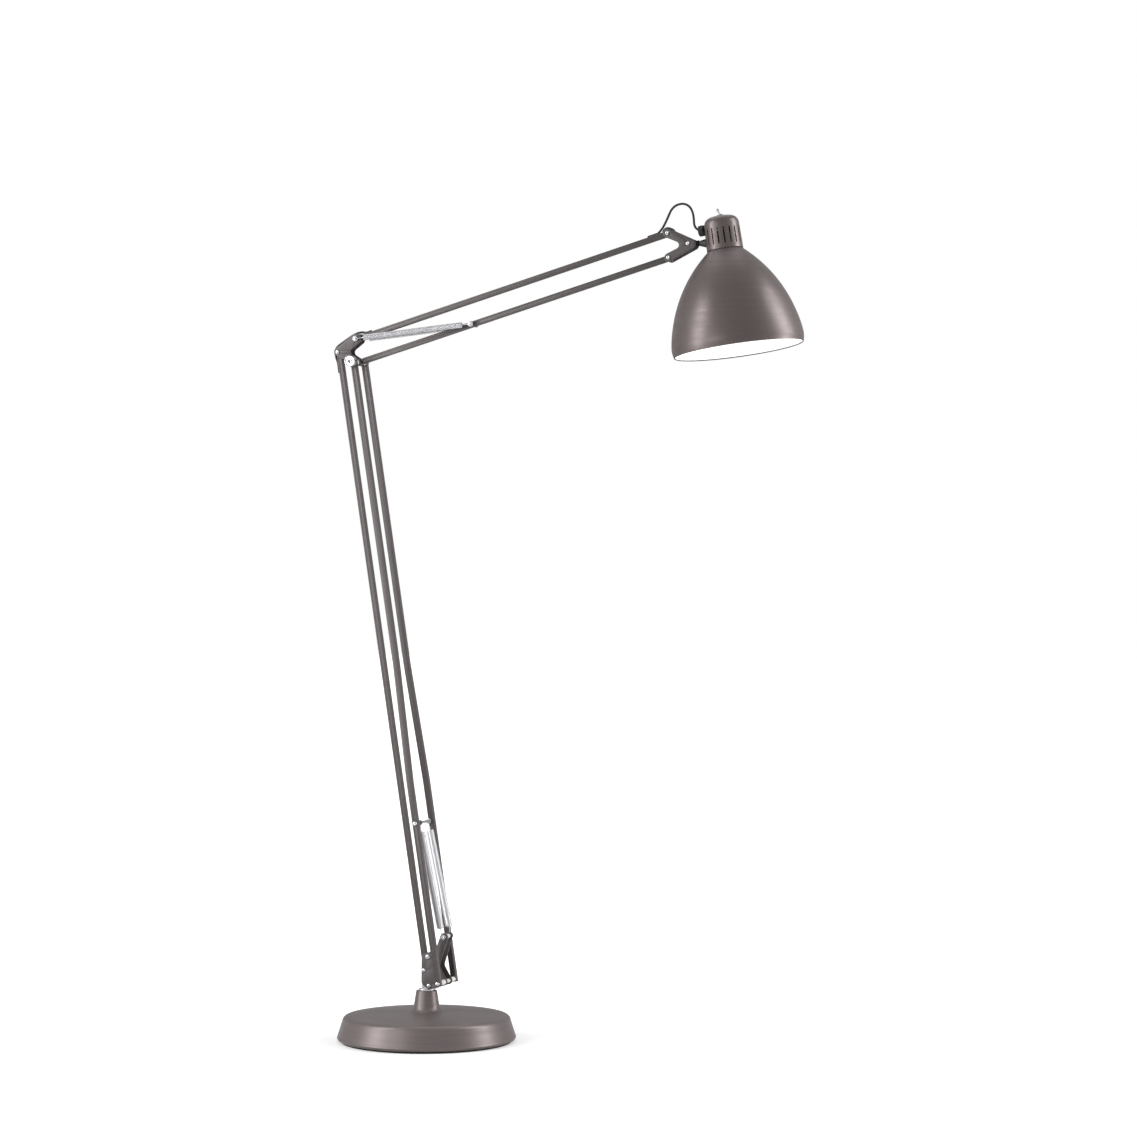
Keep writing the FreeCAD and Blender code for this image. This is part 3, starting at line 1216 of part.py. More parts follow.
def cable_parts():
    radius = num("Sizes.cable_radius")
    lean = math.radians(num(LEAN))
    rise = math.radians(num(RISE))
    tilt = math.radians(num(HEAD_LEAN))

    def spot(point):
        """A linkage point as plain numbers."""
        return Vector(num(point[0]), 0, num(point[1]))

    def by_mast(out, up):
        """Point left of and above the mast's top pin, along the mast's own axes."""
        across = Vector(-math.cos(lean), 0, -math.sin(lean))
        along = Vector(-math.sin(lean), 0, math.cos(lean))
        return spot(MAST_TOP) + across * out + along * up

    def by_arm(pin, forth, up):
        """Point along and above the upper tube from one of its pins."""
        along = Vector(math.cos(rise), 0, math.sin(rise))
        above = Vector(-math.sin(rise), 0, math.cos(rise))
        return spot(pin) + along * forth + above * up

    def by_shade(out, up):
        """Point in the shade's own axes."""
        across = Vector(math.cos(tilt), 0, math.sin(tilt))
        axis = Vector(-math.sin(tilt), 0, math.cos(tilt))
        return spot(RIM) + across * out + axis * up

    elbow_labels = ("elbow_cable_lower", "elbow_cable_upper")
    cable_halves(elbow_labels, (
        by_mast(2.3, -43), by_mast(10.4, -17.5), by_mast(11.8, 10), by_arm(ARM_ROOT, -32, 5.7),
        by_arm(ARM_ROOT, -3, 13.8), by_arm(ARM_ROOT, 16, 12.3), by_arm(ARM_ROOT, 32.2, 2.3),
    ), radius, 2)
    gland = num(GLAND_HEIGHT)
    tip = spot(ARM_TIP)
    head_labels = ("head_cable_rear", "head_cable_front")
    cable_halves(head_labels, (
        by_arm(ARM_TIP, -35, 1.9), by_arm(ARM_TIP, -14, 12.2), tip + Vector(-5, 0, 30),
        tip + Vector(8.5, 0, 59.5), tip + Vector(37, 0, 66), tip + Vector(56, 0, 47),
        by_shade(-63.5, gland), by_shade(-36, gland),
    ), radius, 4)
    turn = "(90 - Sizes.upper_rise)"
    lumps = []
    for labels, port in ((elbow_labels, ROOT_PORT), (head_labels, TIP_PORT)):
        lump = port_box(ARM_ROOT, turn, port[0], port[1], "0", "Sizes.grommet_rise")
        lumps.append(cut(lump, [cable_channel(labels)]))
    node("upper_grommets", join(lumps))
    lump = port_box(MAST_FOOT, "-Sizes.lower_lean", MAST_PORT[0], MAST_PORT[1], "0", "Sizes.grommet_rise")
    node("mast_grommet", cut(lump, [cable_channel(elbow_labels)]))

    guide = new_body("guide_body")
    saddle = new_sketch(guide, "XZ_Plane")

    def on_arm(forth, up):
        """Point along and above the upper tube from its outer pin."""
        return (
            f"({ARM_TIP[0]} + {forth} * cos(Sizes.upper_rise) - {up} * sin(Sizes.upper_rise))",
            f"({ARM_TIP[1]} + {forth} * sin(Sizes.upper_rise) + {up} * cos(Sizes.upper_rise))",
        )

    seat = f"({TUBE_HALF} + Sizes.seat_gap)"
    end = "(Sizes.tube_overhang + Sizes.moving_gap)"
    crown = "Sizes.guide_radius"
    outline(saddle, (
        on_arm(end, "Sizes.guide_foot"),
        (*on_arm(f"sqrt({crown}^2 - Sizes.guide_foot^2)", "Sizes.guide_foot"), crown, 1),
        on_arm(f"(0 - sqrt({crown}^2 - {seat}^2))", seat),
        on_arm(end, seat),
    ))
    pad(guide, saddle, "2 * (Sizes.link_plate_inside - Sizes.moving_gap)")
    node("cable_guide", cut(guide, [cable_channel(head_labels)]))


base_parts()
bracket_parts()
lower_arm_parts()
spring_parts()
elbow_parts()
upper_arm_parts()
head_bracket_parts()
head_parts()
doc.recompute()
cable_parts()
doc.recompute()

for obj in doc.Objects:
    if "Invalid" in obj.State or "Error" in obj.State:
        raise RuntimeError(f"{obj.Label} is {obj.State}")
os.makedirs("parts", exist_ok=True)
for label, obj in nodes:
    shape = obj.Shape
    if shape.isNull() or not shape.isValid():
        raise RuntimeError(f"{label} has no valid shape")
    shape.exportStep(f"parts/{label}.step")
    box = shape.BoundBox
    print(label, len(shape.Solids), "solids",
          [round(v, 1) for v in (box.XMin, box.XMax, box.YMin, box.YMax, box.ZMin, box.ZMax)])
print(len(nodes), "sub-parts")
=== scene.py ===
import json
import math

import bpy
import numpy as np
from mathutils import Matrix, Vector

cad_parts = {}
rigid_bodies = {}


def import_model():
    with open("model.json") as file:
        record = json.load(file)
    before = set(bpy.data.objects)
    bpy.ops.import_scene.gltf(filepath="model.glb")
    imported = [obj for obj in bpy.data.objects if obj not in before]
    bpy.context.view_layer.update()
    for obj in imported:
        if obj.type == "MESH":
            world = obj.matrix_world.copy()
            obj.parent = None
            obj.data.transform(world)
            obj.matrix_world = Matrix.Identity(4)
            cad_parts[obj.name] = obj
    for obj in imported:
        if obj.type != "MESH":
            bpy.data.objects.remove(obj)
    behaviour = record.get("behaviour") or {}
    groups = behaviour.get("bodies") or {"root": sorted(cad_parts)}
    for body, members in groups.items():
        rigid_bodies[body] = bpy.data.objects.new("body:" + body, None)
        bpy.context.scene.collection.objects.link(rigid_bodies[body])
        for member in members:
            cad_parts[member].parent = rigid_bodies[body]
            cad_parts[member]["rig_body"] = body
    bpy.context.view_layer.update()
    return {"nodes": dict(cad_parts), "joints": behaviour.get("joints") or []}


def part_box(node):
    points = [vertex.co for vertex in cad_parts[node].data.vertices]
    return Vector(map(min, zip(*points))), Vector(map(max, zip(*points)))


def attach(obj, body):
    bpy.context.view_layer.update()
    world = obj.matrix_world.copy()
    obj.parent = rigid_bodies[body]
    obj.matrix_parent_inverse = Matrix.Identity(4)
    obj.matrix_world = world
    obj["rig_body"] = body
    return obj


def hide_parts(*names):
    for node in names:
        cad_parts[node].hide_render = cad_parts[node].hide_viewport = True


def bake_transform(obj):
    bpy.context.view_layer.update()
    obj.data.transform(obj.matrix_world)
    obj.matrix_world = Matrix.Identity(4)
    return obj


# Looks of a floor lamp with two spring-balanced arms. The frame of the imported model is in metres, and the
# pieces' own sizes are written in millimetres and brought to metres by MM.

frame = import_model()

MM = 0.001
SHARP_TURN = math.radians(35)
joints = {j["name"]: j for j in frame["joints"]}


def joint_point(name):
    """Place of a joint's axis."""
    return np.array(joints[name]["pos_m"], float)


def box_centre(name):
    """Middle of a node's box."""
    low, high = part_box(name)
    return (np.array(low) + np.array(high)) / 2


def in_plane(point):
    """A point moved straight into the arms' plane, where y is 0."""
    return point * np.array([1, 0, 1])


# Points of the linkage
MAST_FOOT = joint_point("lower_arm_tilt")
BAR_FOOT = joint_point("front_bar_tilt")
HORN = joint_point("lower_spring_swing")
BAR_BOLT = box_centre("spring_bolt")
MAST_TOP = joint_point("elbow_turn")
BAR_TOP = joint_point("stay_tilt")
ARM_ROOT = joint_point("upper_arm_tilt")
STAY_BOLT = box_centre("stay_bolt")
ARM_TIP = joint_point("head_bracket_turn")
STAY_TIP = ARM_TIP + (BAR_TOP - ARM_ROOT)
TILT = joint_point("head_tilt")
LEVER = joint_point("switch_throw")

LOWER_LEAN = math.atan2(MAST_FOOT[0] - MAST_TOP[0], MAST_TOP[2] - MAST_FOOT[2])
UPPER_RISE = math.atan2(ARM_TIP[2] - ARM_ROOT[2], ARM_TIP[0] - ARM_ROOT[0])

# The shade's own axes: up along its middle and out to the front, from the rim's centre
HEAD_LEAN = math.radians(8.1)
HEAD_REACH = 77.3 * MM
PIVOT_ABOVE_RIM = 246.6 * MM
HEAD_UP = np.array([-math.sin(HEAD_LEAN), 0, math.cos(HEAD_LEAN)])
HEAD_OUT = np.array([math.cos(HEAD_LEAN), 0, math.sin(HEAD_LEAN)])
RIM = TILT + HEAD_REACH * HEAD_OUT - PIVOT_ABOVE_RIM * HEAD_UP


def in_head(out, up):
    """A point given in the shade's own axes, in millimetres from the rim's centre."""
    return RIM + out * MM * HEAD_OUT + up * MM * HEAD_UP


def head_radial(angles):
    """Unit vectors square to the shade's middle line: cos t times the way out plus sin t times the side."""
    return np.cos(angles)[:, None] * HEAD_OUT + np.sin(angles)[:, None] * np.array([0, 1, 0])


# Meshes
def new_mesh(name, points, faces, material, tags=None):
    """Object from vertex and face arrays; tags give each face its material's number."""
    mesh = bpy.data.meshes.new(name)
    mesh.from_pydata(np.asarray(points, float).tolist(), [], [[int(i) for i in one] for one in faces])
    mesh.validate()
    mesh.shade_smooth()
    mesh.set_sharp_from_angle(angle=SHARP_TURN)
    obj = bpy.data.objects.new(name, mesh)
    bpy.context.scene.collection.objects.link(obj)
    for one in material if isinstance(material, (list, tuple)) else [material]:
        mesh.materials.append(one)
    if tags is not None:
        mesh.polygons.foreach_set("material_index", np.asarray(tags, np.int32))
    return obj


def apply_modifiers(obj):
    """Bakes an object's modifiers into its mesh."""
    depsgraph = bpy.context.evaluated_depsgraph_get()
    mesh = bpy.data.meshes.new_from_object(obj.evaluated_get(depsgraph))
    obj.modifiers.clear()
    obj.data = mesh


def grid_faces(rows, columns, wrap_rows=False, wrap_columns=False):
    """Quads of a grid of points numbered row by row, joined round where a direction wraps."""
    r = np.arange(rows if wrap_rows else rows - 1)
    c = np.arange(columns if wrap_columns else columns - 1)
    i, j = np.meshgrid(r, c, indexing="ij")
    k, m = (i + 1) % rows, (j + 1) % columns
    quads = np.stack([i * columns + j, i * columns + m, k * columns + m, k * columns + j], -1)
    return quads.reshape(-1, 4)


def axes_of(direction):
    """Two unit vectors square to a direction and to each other, and the direction's own unit vector."""
    d = np.asarray(direction, float) / np.linalg.norm(direction)
    helper = np.array([0, 1, 0]) if abs(d[1]) < 0.9 else np.array([1, 0, 0])
    u = np.cross(helper, d)
    u /= np.linalg.norm(u)
    return u, np.cross(d, u), d


def turned(profile, centre, axis, segments, sides=None):
    """Surface of revolution: radius times (cos t, sin t) across the axis plus height along it.

    The profile is a closed loop of (radius, height) in millimetres; sides scales the radius by angle.
    """
    profile = np.asarray(profile, float) * MM
    u, v, d = axes_of(axis)
    t = np.linspace(0, 2 * math.pi, segments, endpoint=False)
    radius = profile[:, 0][:, None] * np.ones(segments)
    if sides is not None:
        radius = radius * sides(t)
    points = (
        np.asarray(centre)
        + radius[..., None] * (np.cos(t)[None, :, None] * u + np.sin(t)[None, :, None] * v)
        + profile[:, 1][:, None, None] * d
    )
    return points.reshape(-1, 3), grid_faces(len(profile), segments, True, True)


def merged(parts):
    """One mesh's points and faces from several."""
    points, faces, start = [], [], 0
    for p, f in parts:
        points.append(p)
        faces += [[i + start for i in one] for one in f]
        start += len(p)
    return np.concatenate(points), faces


def arc(a, b, radius, way, count=12):
    """Points of a circle's arc from a to b, turning left for way +1 and right for -1."""
    a, b = np.asarray(a, float), np.asarray(b, float)
    chord = b - a
    half = np.linalg.norm(chord) / 2
    left = np.array([-chord[1], chord[0]]) / (2 * half)
    centre = (a + b) / 2 + left * way * math.sqrt(max(radius**2 - half**2, 0))
    start = math.atan2(*(a - centre)[::-1])
    sweep = 2 * math.asin(min(1, half / radius)) * way
    t = start + np.linspace(0, 1, count) * sweep
    return centre + radius * np.stack([np.cos(t), np.sin(t)], -1)


def rounded(corners, radius, count=5):
    """Closed outline whose corners are replaced by short curves that start a radius before each."""
    points = np.asarray(corners, float)
    before, after = np.roll(points, 1, 0) - points, np.roll(points, -1, 0) - points
    length_b = np.linalg.norm(before, axis=1)[:, None]
    length_a = np.linalg.norm(after, axis=1)[:, None]
    start = points + before / length_b * np.minimum(radius, length_b * 0.45)
    stop = points + after / length_a * np.minimum(radius, length_a * 0.45)
    t = np.linspace(0, 1, count)[None, :, None]
    curve = (1 - t) ** 2 * start[:, None] + 2 * t * (1 - t) * points[:, None] + t**2 * stop[:, None]
    return curve.reshape(-1, 2)


def collar(inner, outer, low, high, edge):
    """Section of a ring between two radii and two heights, with rounded edges."""
    return rounded([[inner, low], [outer, low], [outer, high], [inner, high]], edge)


def circle(radius, count):
    """Offsets of a round section."""
    t = np.linspace(0, 2 * math.pi, count, endpoint=False)
    return np.stack([np.cos(t), np.sin(t)], -1) * radius


def swept(path, section, across, up):
    """Points of a section along a path: path point plus first offset times across plus second times up."""
    across, up = np.broadcast_to(across, path.shape), np.broadcast_to(up, path.shape)
    points = path[:, None] + section[None, :, 0, None] * across[:, None]
    return (points + section[None, :, 1, None] * up[:, None]).reshape(-1, 3)


def capped(rows, columns):
    """Faces of a tube of rings with a fan on each end, whose middles are the two points after the rings."""
    ring = np.arange(columns)
    following = np.roll(ring, -1)
    first = rows * columns
    last = (rows - 1) * columns
    low = np.stack([np.full(columns, first), ring, following], -1)
    high = np.stack([np.full(columns, first + 1), last + following, last + ring], -1)
    return grid_faces(rows, columns, False, True).tolist() + low.tolist() + high.tolist()


def tube(path, section, across, up):
    """Section carried along a path and closed at both ends."""
    points = np.concatenate([swept(path, section, across, up), path[[0, -1]]])
    return points, capped(len(path), len(section))


def along_path(path, section):
    """Tube along a path, with a frame that turns as little as it can."""
    tangent = np.gradient(path, axis=0)
    tangent /= np.linalg.norm(tangent, axis=1)[:, None]
    side = np.zeros_like(path)
    u, _, _ = axes_of(tangent[0])
    for i, t in enumerate(tangent):
        u = u - t * (u @ t)
        u /= np.linalg.norm(u)
        side[i] = u
    return tube(path, section, side, np.cross(tangent, side))


# Materials: patterns' sizes in millimetres
DRIFT_PATCH = 55.5
BUMP_HEIGHT = 0.2
# Spun rings are finer than a pixel, so they are drawn this far apart to show, and this much longer than wide
SPUN_PITCH = 7.0
SPUN_STRETCH = 25


def linear(code):
    """sRGB hex colour as linear values."""
    values = [int(code[i : i + 2], 16) / 255 for i in (0, 2, 4)]
    return [v / 12.92 if v <= 0.04045 else ((v + 0.055) / 1.055) ** 2.4 for v in values] + [1.0]


def add(tree, kind, links=(), **settings):
    """Node with its settings; links are (input, node, output)."""
    node = tree.nodes.new(kind)
    for key, value in settings.items():
        if hasattr(node, key):
            setattr(node, key, value)
        else:
            node.inputs[key.replace("_", " ").title()].default_value = value
    for target, source, output in links:
        tree.links.new(source.outputs[output], node.inputs[target])
    return node


def new_material(name):
    """Empty material with its Principled shader, object coordinates and output."""
    material = bpy.data.materials.new(name)
    material.use_nodes = True
    tree = material.node_tree
    tree.nodes.clear()
    shader = add(tree, "ShaderNodeBsdfPrincipled")
    output = add(tree, "ShaderNodeOutputMaterial", [(0, shader, 0)])
    place = add(tree, "ShaderNodeTexCoord")
    return material, tree, shader, place, output


def coated(name, colour, shade, rough, peel, depth, wear=0.05, metallic=0.0, spun=None, glow=0.0):
    """Surface with a fine grain, a slow drift of colour and uneven gloss.

    peel is the grain's spacing in millimetres, depth the bump's strength and wear the drift of roughness.
    spun leans the pattern by that many radians and stretches it round the vertical, as a spun sheet's marks
    run; glow is painted light: an emission strength for a surface that gives off no light of its own.
    """
    material, tree, shader, place, _ = new_material(name)
    spot = ("Vector", place, "Object")
    if spun is None:
        drift = add(tree, "ShaderNodeTexNoise", [spot], Scale=1 / (DRIFT_PATCH * MM), Detail=3.0)
    else:
        squash = 1 / SPUN_STRETCH
        flat = add(tree, "ShaderNodeMapping", [spot], Rotation=(0, spun, 0), Scale=(squash, squash, 1))
        rings = ("Vector", flat, 0)
        drift = add(tree, "ShaderNodeTexNoise", [rings], Scale=1 / (SPUN_PITCH * MM), Detail=6.0)
    # One cell of the noise holds about two grains
    grain = add(tree, "ShaderNodeTexNoise", [spot], Scale=1 / (2 * peel * MM), Detail=2.0)
    tone = add(tree, "ShaderNodeMix", [(0, drift, "Fac")], data_type="RGBA")
    tone.inputs[6].default_value = linear(colour)
    tone.inputs[7].default_value = linear(shade)
    tree.links.new(tone.outputs[2], shader.inputs["Base Color"])
    gloss = add(tree, "ShaderNodeMapRange", [("Value", drift, "Fac")],
                To_Min=rough - wear, To_Max=rough + wear)
    tree.links.new(gloss.outputs[0], shader.inputs["Roughness"])
    bump = add(tree, "ShaderNodeBump", [("Height", grain, "Fac")],
               Strength=depth, Distance=BUMP_HEIGHT * MM)
    tree.links.new(bump.outputs[0], shader.inputs["Normal"])
    shader.inputs["Metallic"].default_value = metallic
    # Painted light: the emission makes the surface glow though it is no lamp
    if glow:
        shader.inputs["Emission Color"].default_value = linear(colour)
        shader.inputs["Emission Strength"].default_value = glow
    return material


# Baked satin lacquer on steel: warm taupe-grey, soft broad highlights
lacquer = coated("taupe_satin_lacquer", "585251", "4f4a49", 0.4, peel=0.9, depth=0.05, metallic=0.2)
# The same lacquer over spun sheet: fine rings show through it, on the upright foot and on the leaning shade
foot_lacquer = coated("taupe_lacquer_on_spun_foot", "7b7170", "696060", 0.4, peel=0.9, depth=0.05,
                      wear=0.09, metallic=0.45, spun=0.0)
shade_lacquer = coated("taupe_lacquer_on_spun_shade", "746a69", "635b5a", 0.38, peel=0.9, depth=0.05,
                       wear=0.11, metallic=0.5, spun=HEAD_LEAN)
# White stoved enamel inside the shade: bright and even, with painted light: a glow that makes it brighter
# than the lamps light it
enamel_painted_glow = coated("white_stoved_enamel_painted_glow", "f4f4f2", "efefec", 0.45, peel=0.9, depth=0.03, glow=0.5)
# Polished chrome on pins, knob, elbow axle and neck ring: mirror bright
chrome = coated("polished_chrome_plate", "dcdde0", "d5d6da", 0.08, peel=0.6, depth=0.01, wear=0.03,
                metallic=1.0)
# Nickel-plated spring wire: bright and slightly milky
nickel = coated("nickel_plated_wire", "f0eff2", "e6e5e9", 0.38, peel=0.4, depth=0.02, metallic=1.0)
# Nickel plate of the toggle switch: greyer than the chrome
switch_nickel = coated("nickel_plated_switch", "a3a2a4", "929194", 0.22, peel=0.5, depth=0.02, metallic=1.0)
# Bright zinc on spindle and small steel parts: pale grey and half dull
zinc = coated("bright_zinc_steel", "c3c4c8", "b4b6bb", 0.3, peel=0.5, depth=0.04, metallic=1.0)
# Black satin lacquer of the head's arm and knuckle: deep black with a soft sheen
black_lacquer = coated("black_satin_lacquer", "0c0b0b", "111010", 0.5, peel=0.9, depth=0.05)
# Moulded black plastic: fine spark-eroded grain
black_plastic = coated("black_moulded_nylon", "161617", "1d1d1e", 0.5, peel=0.5, depth=0.12)
# Extruded black cable jacket: smooth, with a faint shine
jacket = coated("black_cable_jacket", "0f0f10", "151516", 0.42, peel=0.5, depth=0.05)
# Moulded black rubber ring under the foot: dull
rubber = coated("black_rubber_ring", "0b0b0b", "121212", 0.75, peel=0.7, depth=0.15)
# White turned nylon of washers and sleeves: waxy and even
white_nylon = coated("white_turned_nylon", "e9e9e6", "dfdfdc", 0.4, peel=0.5, depth=0.05)
# Opal lamp glass: milk white and glossy
opal = coated("opal_lamp_glass", "f7f7f4", "f2f2ee", 0.25, peel=2.0, depth=0.0)
# Glazed porcelain of the lamp holder: cream white and wet bright
porcelain = coated("glazed_porcelain", "eceae4", "e3e1da", 0.18, peel=1.5, depth=0.03)
# Sand-cast iron weight: dark, dull and rough
cast_iron = coated("sand_cast_iron", "3a3a3c", "2c2c2e", 0.8, peel=1.6, depth=0.5)
# Pressed wool felt pad: charcoal grey, with no shine
felt = coated("pressed_wool_felt", "2b2a2a", "232222", 0.95, peel=0.5, depth=0.6)
# Sintered bronze bush: brown and faintly grainy
bronze = coated("sintered_bronze", "8f7648", "7d6740", 0.45, peel=0.5, depth=0.1, metallic=1.0)


# Camera at the photograph's viewing angle: lengths in metres, the photograph's in its pixels
IMAGE_LONG_SIDE = 1139
FOCAL_PIXELS = 3200
FILM_WIDTH = 36
CAMERA_TURN = math.radians(20)
CAMERA_DISTANCE = 7.15
CAMERA_SIDE = 0.317
CAMERA_HEIGHT = 1.0535
SIGHT_END = 100
FORWARD = np.array([-math.sin(CAMERA_TURN), math.cos(CAMERA_TURN), 0])
RIGHT = np.array([math.cos(CAMERA_TURN), math.sin(CAMERA_TURN), 0])
UP = np.array([0, 0, 1])


def make_camera():
    """Level camera whose long image side spans twice the arctangent of half of it over the focal pixels."""
    data = bpy.data.cameras.new("camera")
    data.sensor_width = FILM_WIDTH
    data.lens = FILM_WIDTH / IMAGE_LONG_SIDE * FOCAL_PIXELS
    data.clip_end = SIGHT_END
    camera = bpy.data.objects.new("camera", data)
    bpy.context.scene.collection.objects.link(camera)
    camera.location = Vector(CAMERA_SIDE * RIGHT - CAMERA_DISTANCE * FORWARD + CAMERA_HEIGHT * UP)
    camera.rotation_euler = Vector(FORWARD).to_track_quat("-Z", "Y").to_euler()
    bpy.context.scene.camera = camera


# Stage and light, in metres and watts; the surround lights the lamp at this share of its full strength
WORLD_LEVEL = 0.42
FLOOR_HALF = 30.0
# The floor's glow rises from its least to full between these distances from the foot's middle
FLOOR_LIFT = 0.3
LIFT_NEAR, LIFT_FAR = 0.25, 1.3
LIT_POINT = np.array([0.25, 0, 0.95])
# Each soft box's place to the right of, beyond and above the lit point, then its width, height and power
SOFT_BOXES = (
    ("left_box", (-3.2, -1.1, 0.9), (1.1, 4.4), 110),
    ("right_box", (3.2, -0.2, 0.9), (1.1, 4.4), 110),
    ("top_box", (0, 1.2, 3.2), (2.5, 2.5), 25),
    ("front_box", (-3.214, -3.83, 0.6), (1.6, 1.6), 30),
)


def make_floor():
    """Pale floor that the camera sees dim round the foot, where it keeps the shadow, and white far out."""
    material, tree, shader, place, output = new_material("pale_paper_floor")
    shader.inputs["Base Color"].default_value = linear("e6e6e6")
    shader.inputs["Roughness"].default_value = 0.9
    shader.inputs["Specular IOR Level"].default_value = 0.1
    ray = add(tree, "ShaderNodeLightPath")
    reach = add(tree, "ShaderNodeVectorMath", [(0, place, "Object")], operation="LENGTH")
    rise = add(tree, "ShaderNodeMapRange", [("Value", reach, "Value")],
               From_Min=LIFT_NEAR, From_Max=LIFT_FAR, To_Min=FLOOR_LIFT, To_Max=1.0)
    lift = add(tree, "ShaderNodeMath", [(0, ray, "Is Camera Ray"), (1, rise, 0)], operation="MULTIPLY")
    glow = add(tree, "ShaderNodeEmission", [("Strength", lift, 0)])
    both = add(tree, "ShaderNodeAddShader", [(0, shader, 0), (1, glow, 0)])
    tree.links.new(both.outputs[0], output.inputs[0])
    corners = np.array([[-1, -1, 0], [1, -1, 0], [1, 1, 0], [-1, 1, 0]]) * FLOOR_HALF
    new_mesh("floor", corners, [[0, 1, 2, 3]], material)


def make_world():
    """White surround, at full strength where the camera sees it and dimmer where it lights the lamp."""
    world = bpy.data.worlds.new("studio")
    bpy.context.scene.world = world
    world.use_nodes = True
    tree = world.node_tree
    tree.nodes.clear()
    ray = add(tree, "ShaderNodeLightPath")
    seen = add(tree, "ShaderNodeMath", [(0, ray, "Is Camera Ray"), (1, ray, "Is Transmission Ray")],
               operation="MAXIMUM")
    level = add(tree, "ShaderNodeMapRange", [("Value", seen, 0)], To_Min=WORLD_LEVEL, To_Max=1.0)
    background = add(tree, "ShaderNodeBackground", [("Strength", level, 0)], Color=(1, 1, 1, 1))
    add(tree, "ShaderNodeOutputWorld", [(0, background, 0)])


def soft_box(name, offset, size, power):
    """Rectangular lamp that faces the lit point."""
    data = bpy.data.lights.new(name, "AREA")
    data.shape = "RECTANGLE"
    data.size, data.size_y = size
    data.energy = power
    lamp = bpy.data.objects.new(name, data)
    bpy.context.scene.collection.objects.link(lamp)
    place = LIT_POINT + offset[0] * RIGHT + offset[1] * FORWARD + offset[2] * UP
    lamp.location = Vector(place)
    lamp.rotation_euler = Vector(LIT_POINT - place).to_track_quat("-Z", "Y").to_euler()


bpy.context.scene.view_settings.view_transform = "Standard"
make_camera()
make_floor()
make_world()
for box in SOFT_BOXES:
    soft_box(*box)


# Helpers that hand a finished piece over: edges over this angle are rounded, points this near are merged
EDGE_ANGLE = math.radians(40)
WELD_REACH = 1e-3 * MM


def finish_piece(obj, body, replaced=()):
    """Rides on a body and stands for CAD nodes, whose meshes it hides."""
    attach(obj, body)
    if replaced:
        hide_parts(*replaced)


def dressed(node, material, slot, bevel):
    """Copy of a CAD node with merged points and small rounded edges."""
    source = frame["nodes"][node]
    obj = bpy.data.objects.new(node + "_finish", source.data.copy())
    bpy.context.scene.collection.objects.link(obj)
    weld = obj.modifiers.new("weld", "WELD")
    weld.merge_threshold = WELD_REACH
    edge = obj.modifiers.new("edge", "BEVEL")
    edge.width = bevel * MM
    edge.segments = 2
    edge.limit_method = "ANGLE"
    edge.angle_limit = EDGE_ANGLE
    edge.use_clamp_overlap = True
    apply_modifiers(obj)
    mesh = obj.data
    if "custom_normal" in mesh.attributes:
        mesh.attributes.remove(mesh.attributes["custom_normal"])
    mesh.materials.clear()
    mesh.materials.append(material)
    mesh.polygons.foreach_set("material_index", np.zeros(len(mesh.polygons), np.int32))
    mesh.shade_smooth()
    mesh.set_sharp_from_angle(angle=SHARP_TURN)
    finish_piece(obj, source["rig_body"], [node])


# Cables: the routes of the two short free stretches, with the gland that the head's loop ends in
CABLE_RADIUS = 2.5 * MM
CABLE_SIDES = 20
GLAND_HEIGHT = 269.3
GLAND_FACE = -52.5
# Lengths before the loop's end: where it is cut for the gland, and a point on its fall that is found but not
# used
GLAND_RUN = 34 * MM
LOOP_BEND = 119 * MM


def by_mast(out, up):
    """Point left of and above the mast's top pin, along the mast's own axes, in millimetres."""
    across = np.array([-math.cos(LOWER_LEAN), 0, -math.sin(LOWER_LEAN)])
    along = np.array([-math.sin(LOWER_LEAN), 0, math.cos(LOWER_LEAN)])
    return MAST_TOP + out * MM * across + up * MM * along


def by_arm(pin, along, up):
    """Point along and above the upper tube from one of its pins, in millimetres."""
    forth = np.array([math.cos(UPPER_RISE), 0, math.sin(UPPER_RISE)])
    above = np.array([-math.sin(UPPER_RISE), 0, math.cos(UPPER_RISE)])
    return pin + along * MM * forth + up * MM * above


def by_tip(out, up):
    """Point in front of and above the upper tube's outer pin, level with the floor, in millimetres."""
    return in_plane(ARM_TIP) + np.array([out, 0, up]) * MM


def route_points(points):
    """Points of the NURBS spline of order 3 on the route."""
    data = bpy.data.curves.new("route", "CURVE")
    data.dimensions = "3D"
    data.resolution_u = 16
    spline = data.splines.new("NURBS")
    spline.points.add(len(points) - 1)
    for target, point in zip(spline.points, points):
        target.co = (*point, 1)
    spline.order_u = 3
    spline.use_endpoint_u = True
    holder = bpy.data.objects.new("route", data)
    bpy.context.scene.collection.objects.link(holder)
    bpy.context.view_layer.update()
    mesh = bpy.data.meshes.new_from_object(holder)
    found = np.array([v.co for v in mesh.vertices])
    bpy.data.objects.remove(holder)
    return found


def parted(route, cut):
    """Two stretches of a route, cut in the middle of the run that follows the given point."""
    middle = (route[cut] + route[cut + 1]) / 2
    return route_points(route[: cut + 1] + [middle]), route_points([middle] + route[cut + 1 :])


def cut_before_end(path, length):
    """A path cut at the given length from its end."""
    steps = np.linalg.norm(np.diff(path, axis=0), axis=1)
    left = np.append(np.cumsum(steps[::-1])[::-1], 0)
    index = int(np.argmin(abs(left - length)))
    return path[: index + 1], path[index:]


def cable_piece(name, run, node, start=None, end=None):
    """One stretch of cable along its run, standing for a hidden CAD node; start and end are not used."""
    piece = new_mesh(name, *along_path(run, circle(CABLE_RADIUS, CABLE_SIDES)), jacket)
    start = run[0] if start is None else start
    end = run[-1] if end is None else end
    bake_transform(piece)
    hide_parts(node)


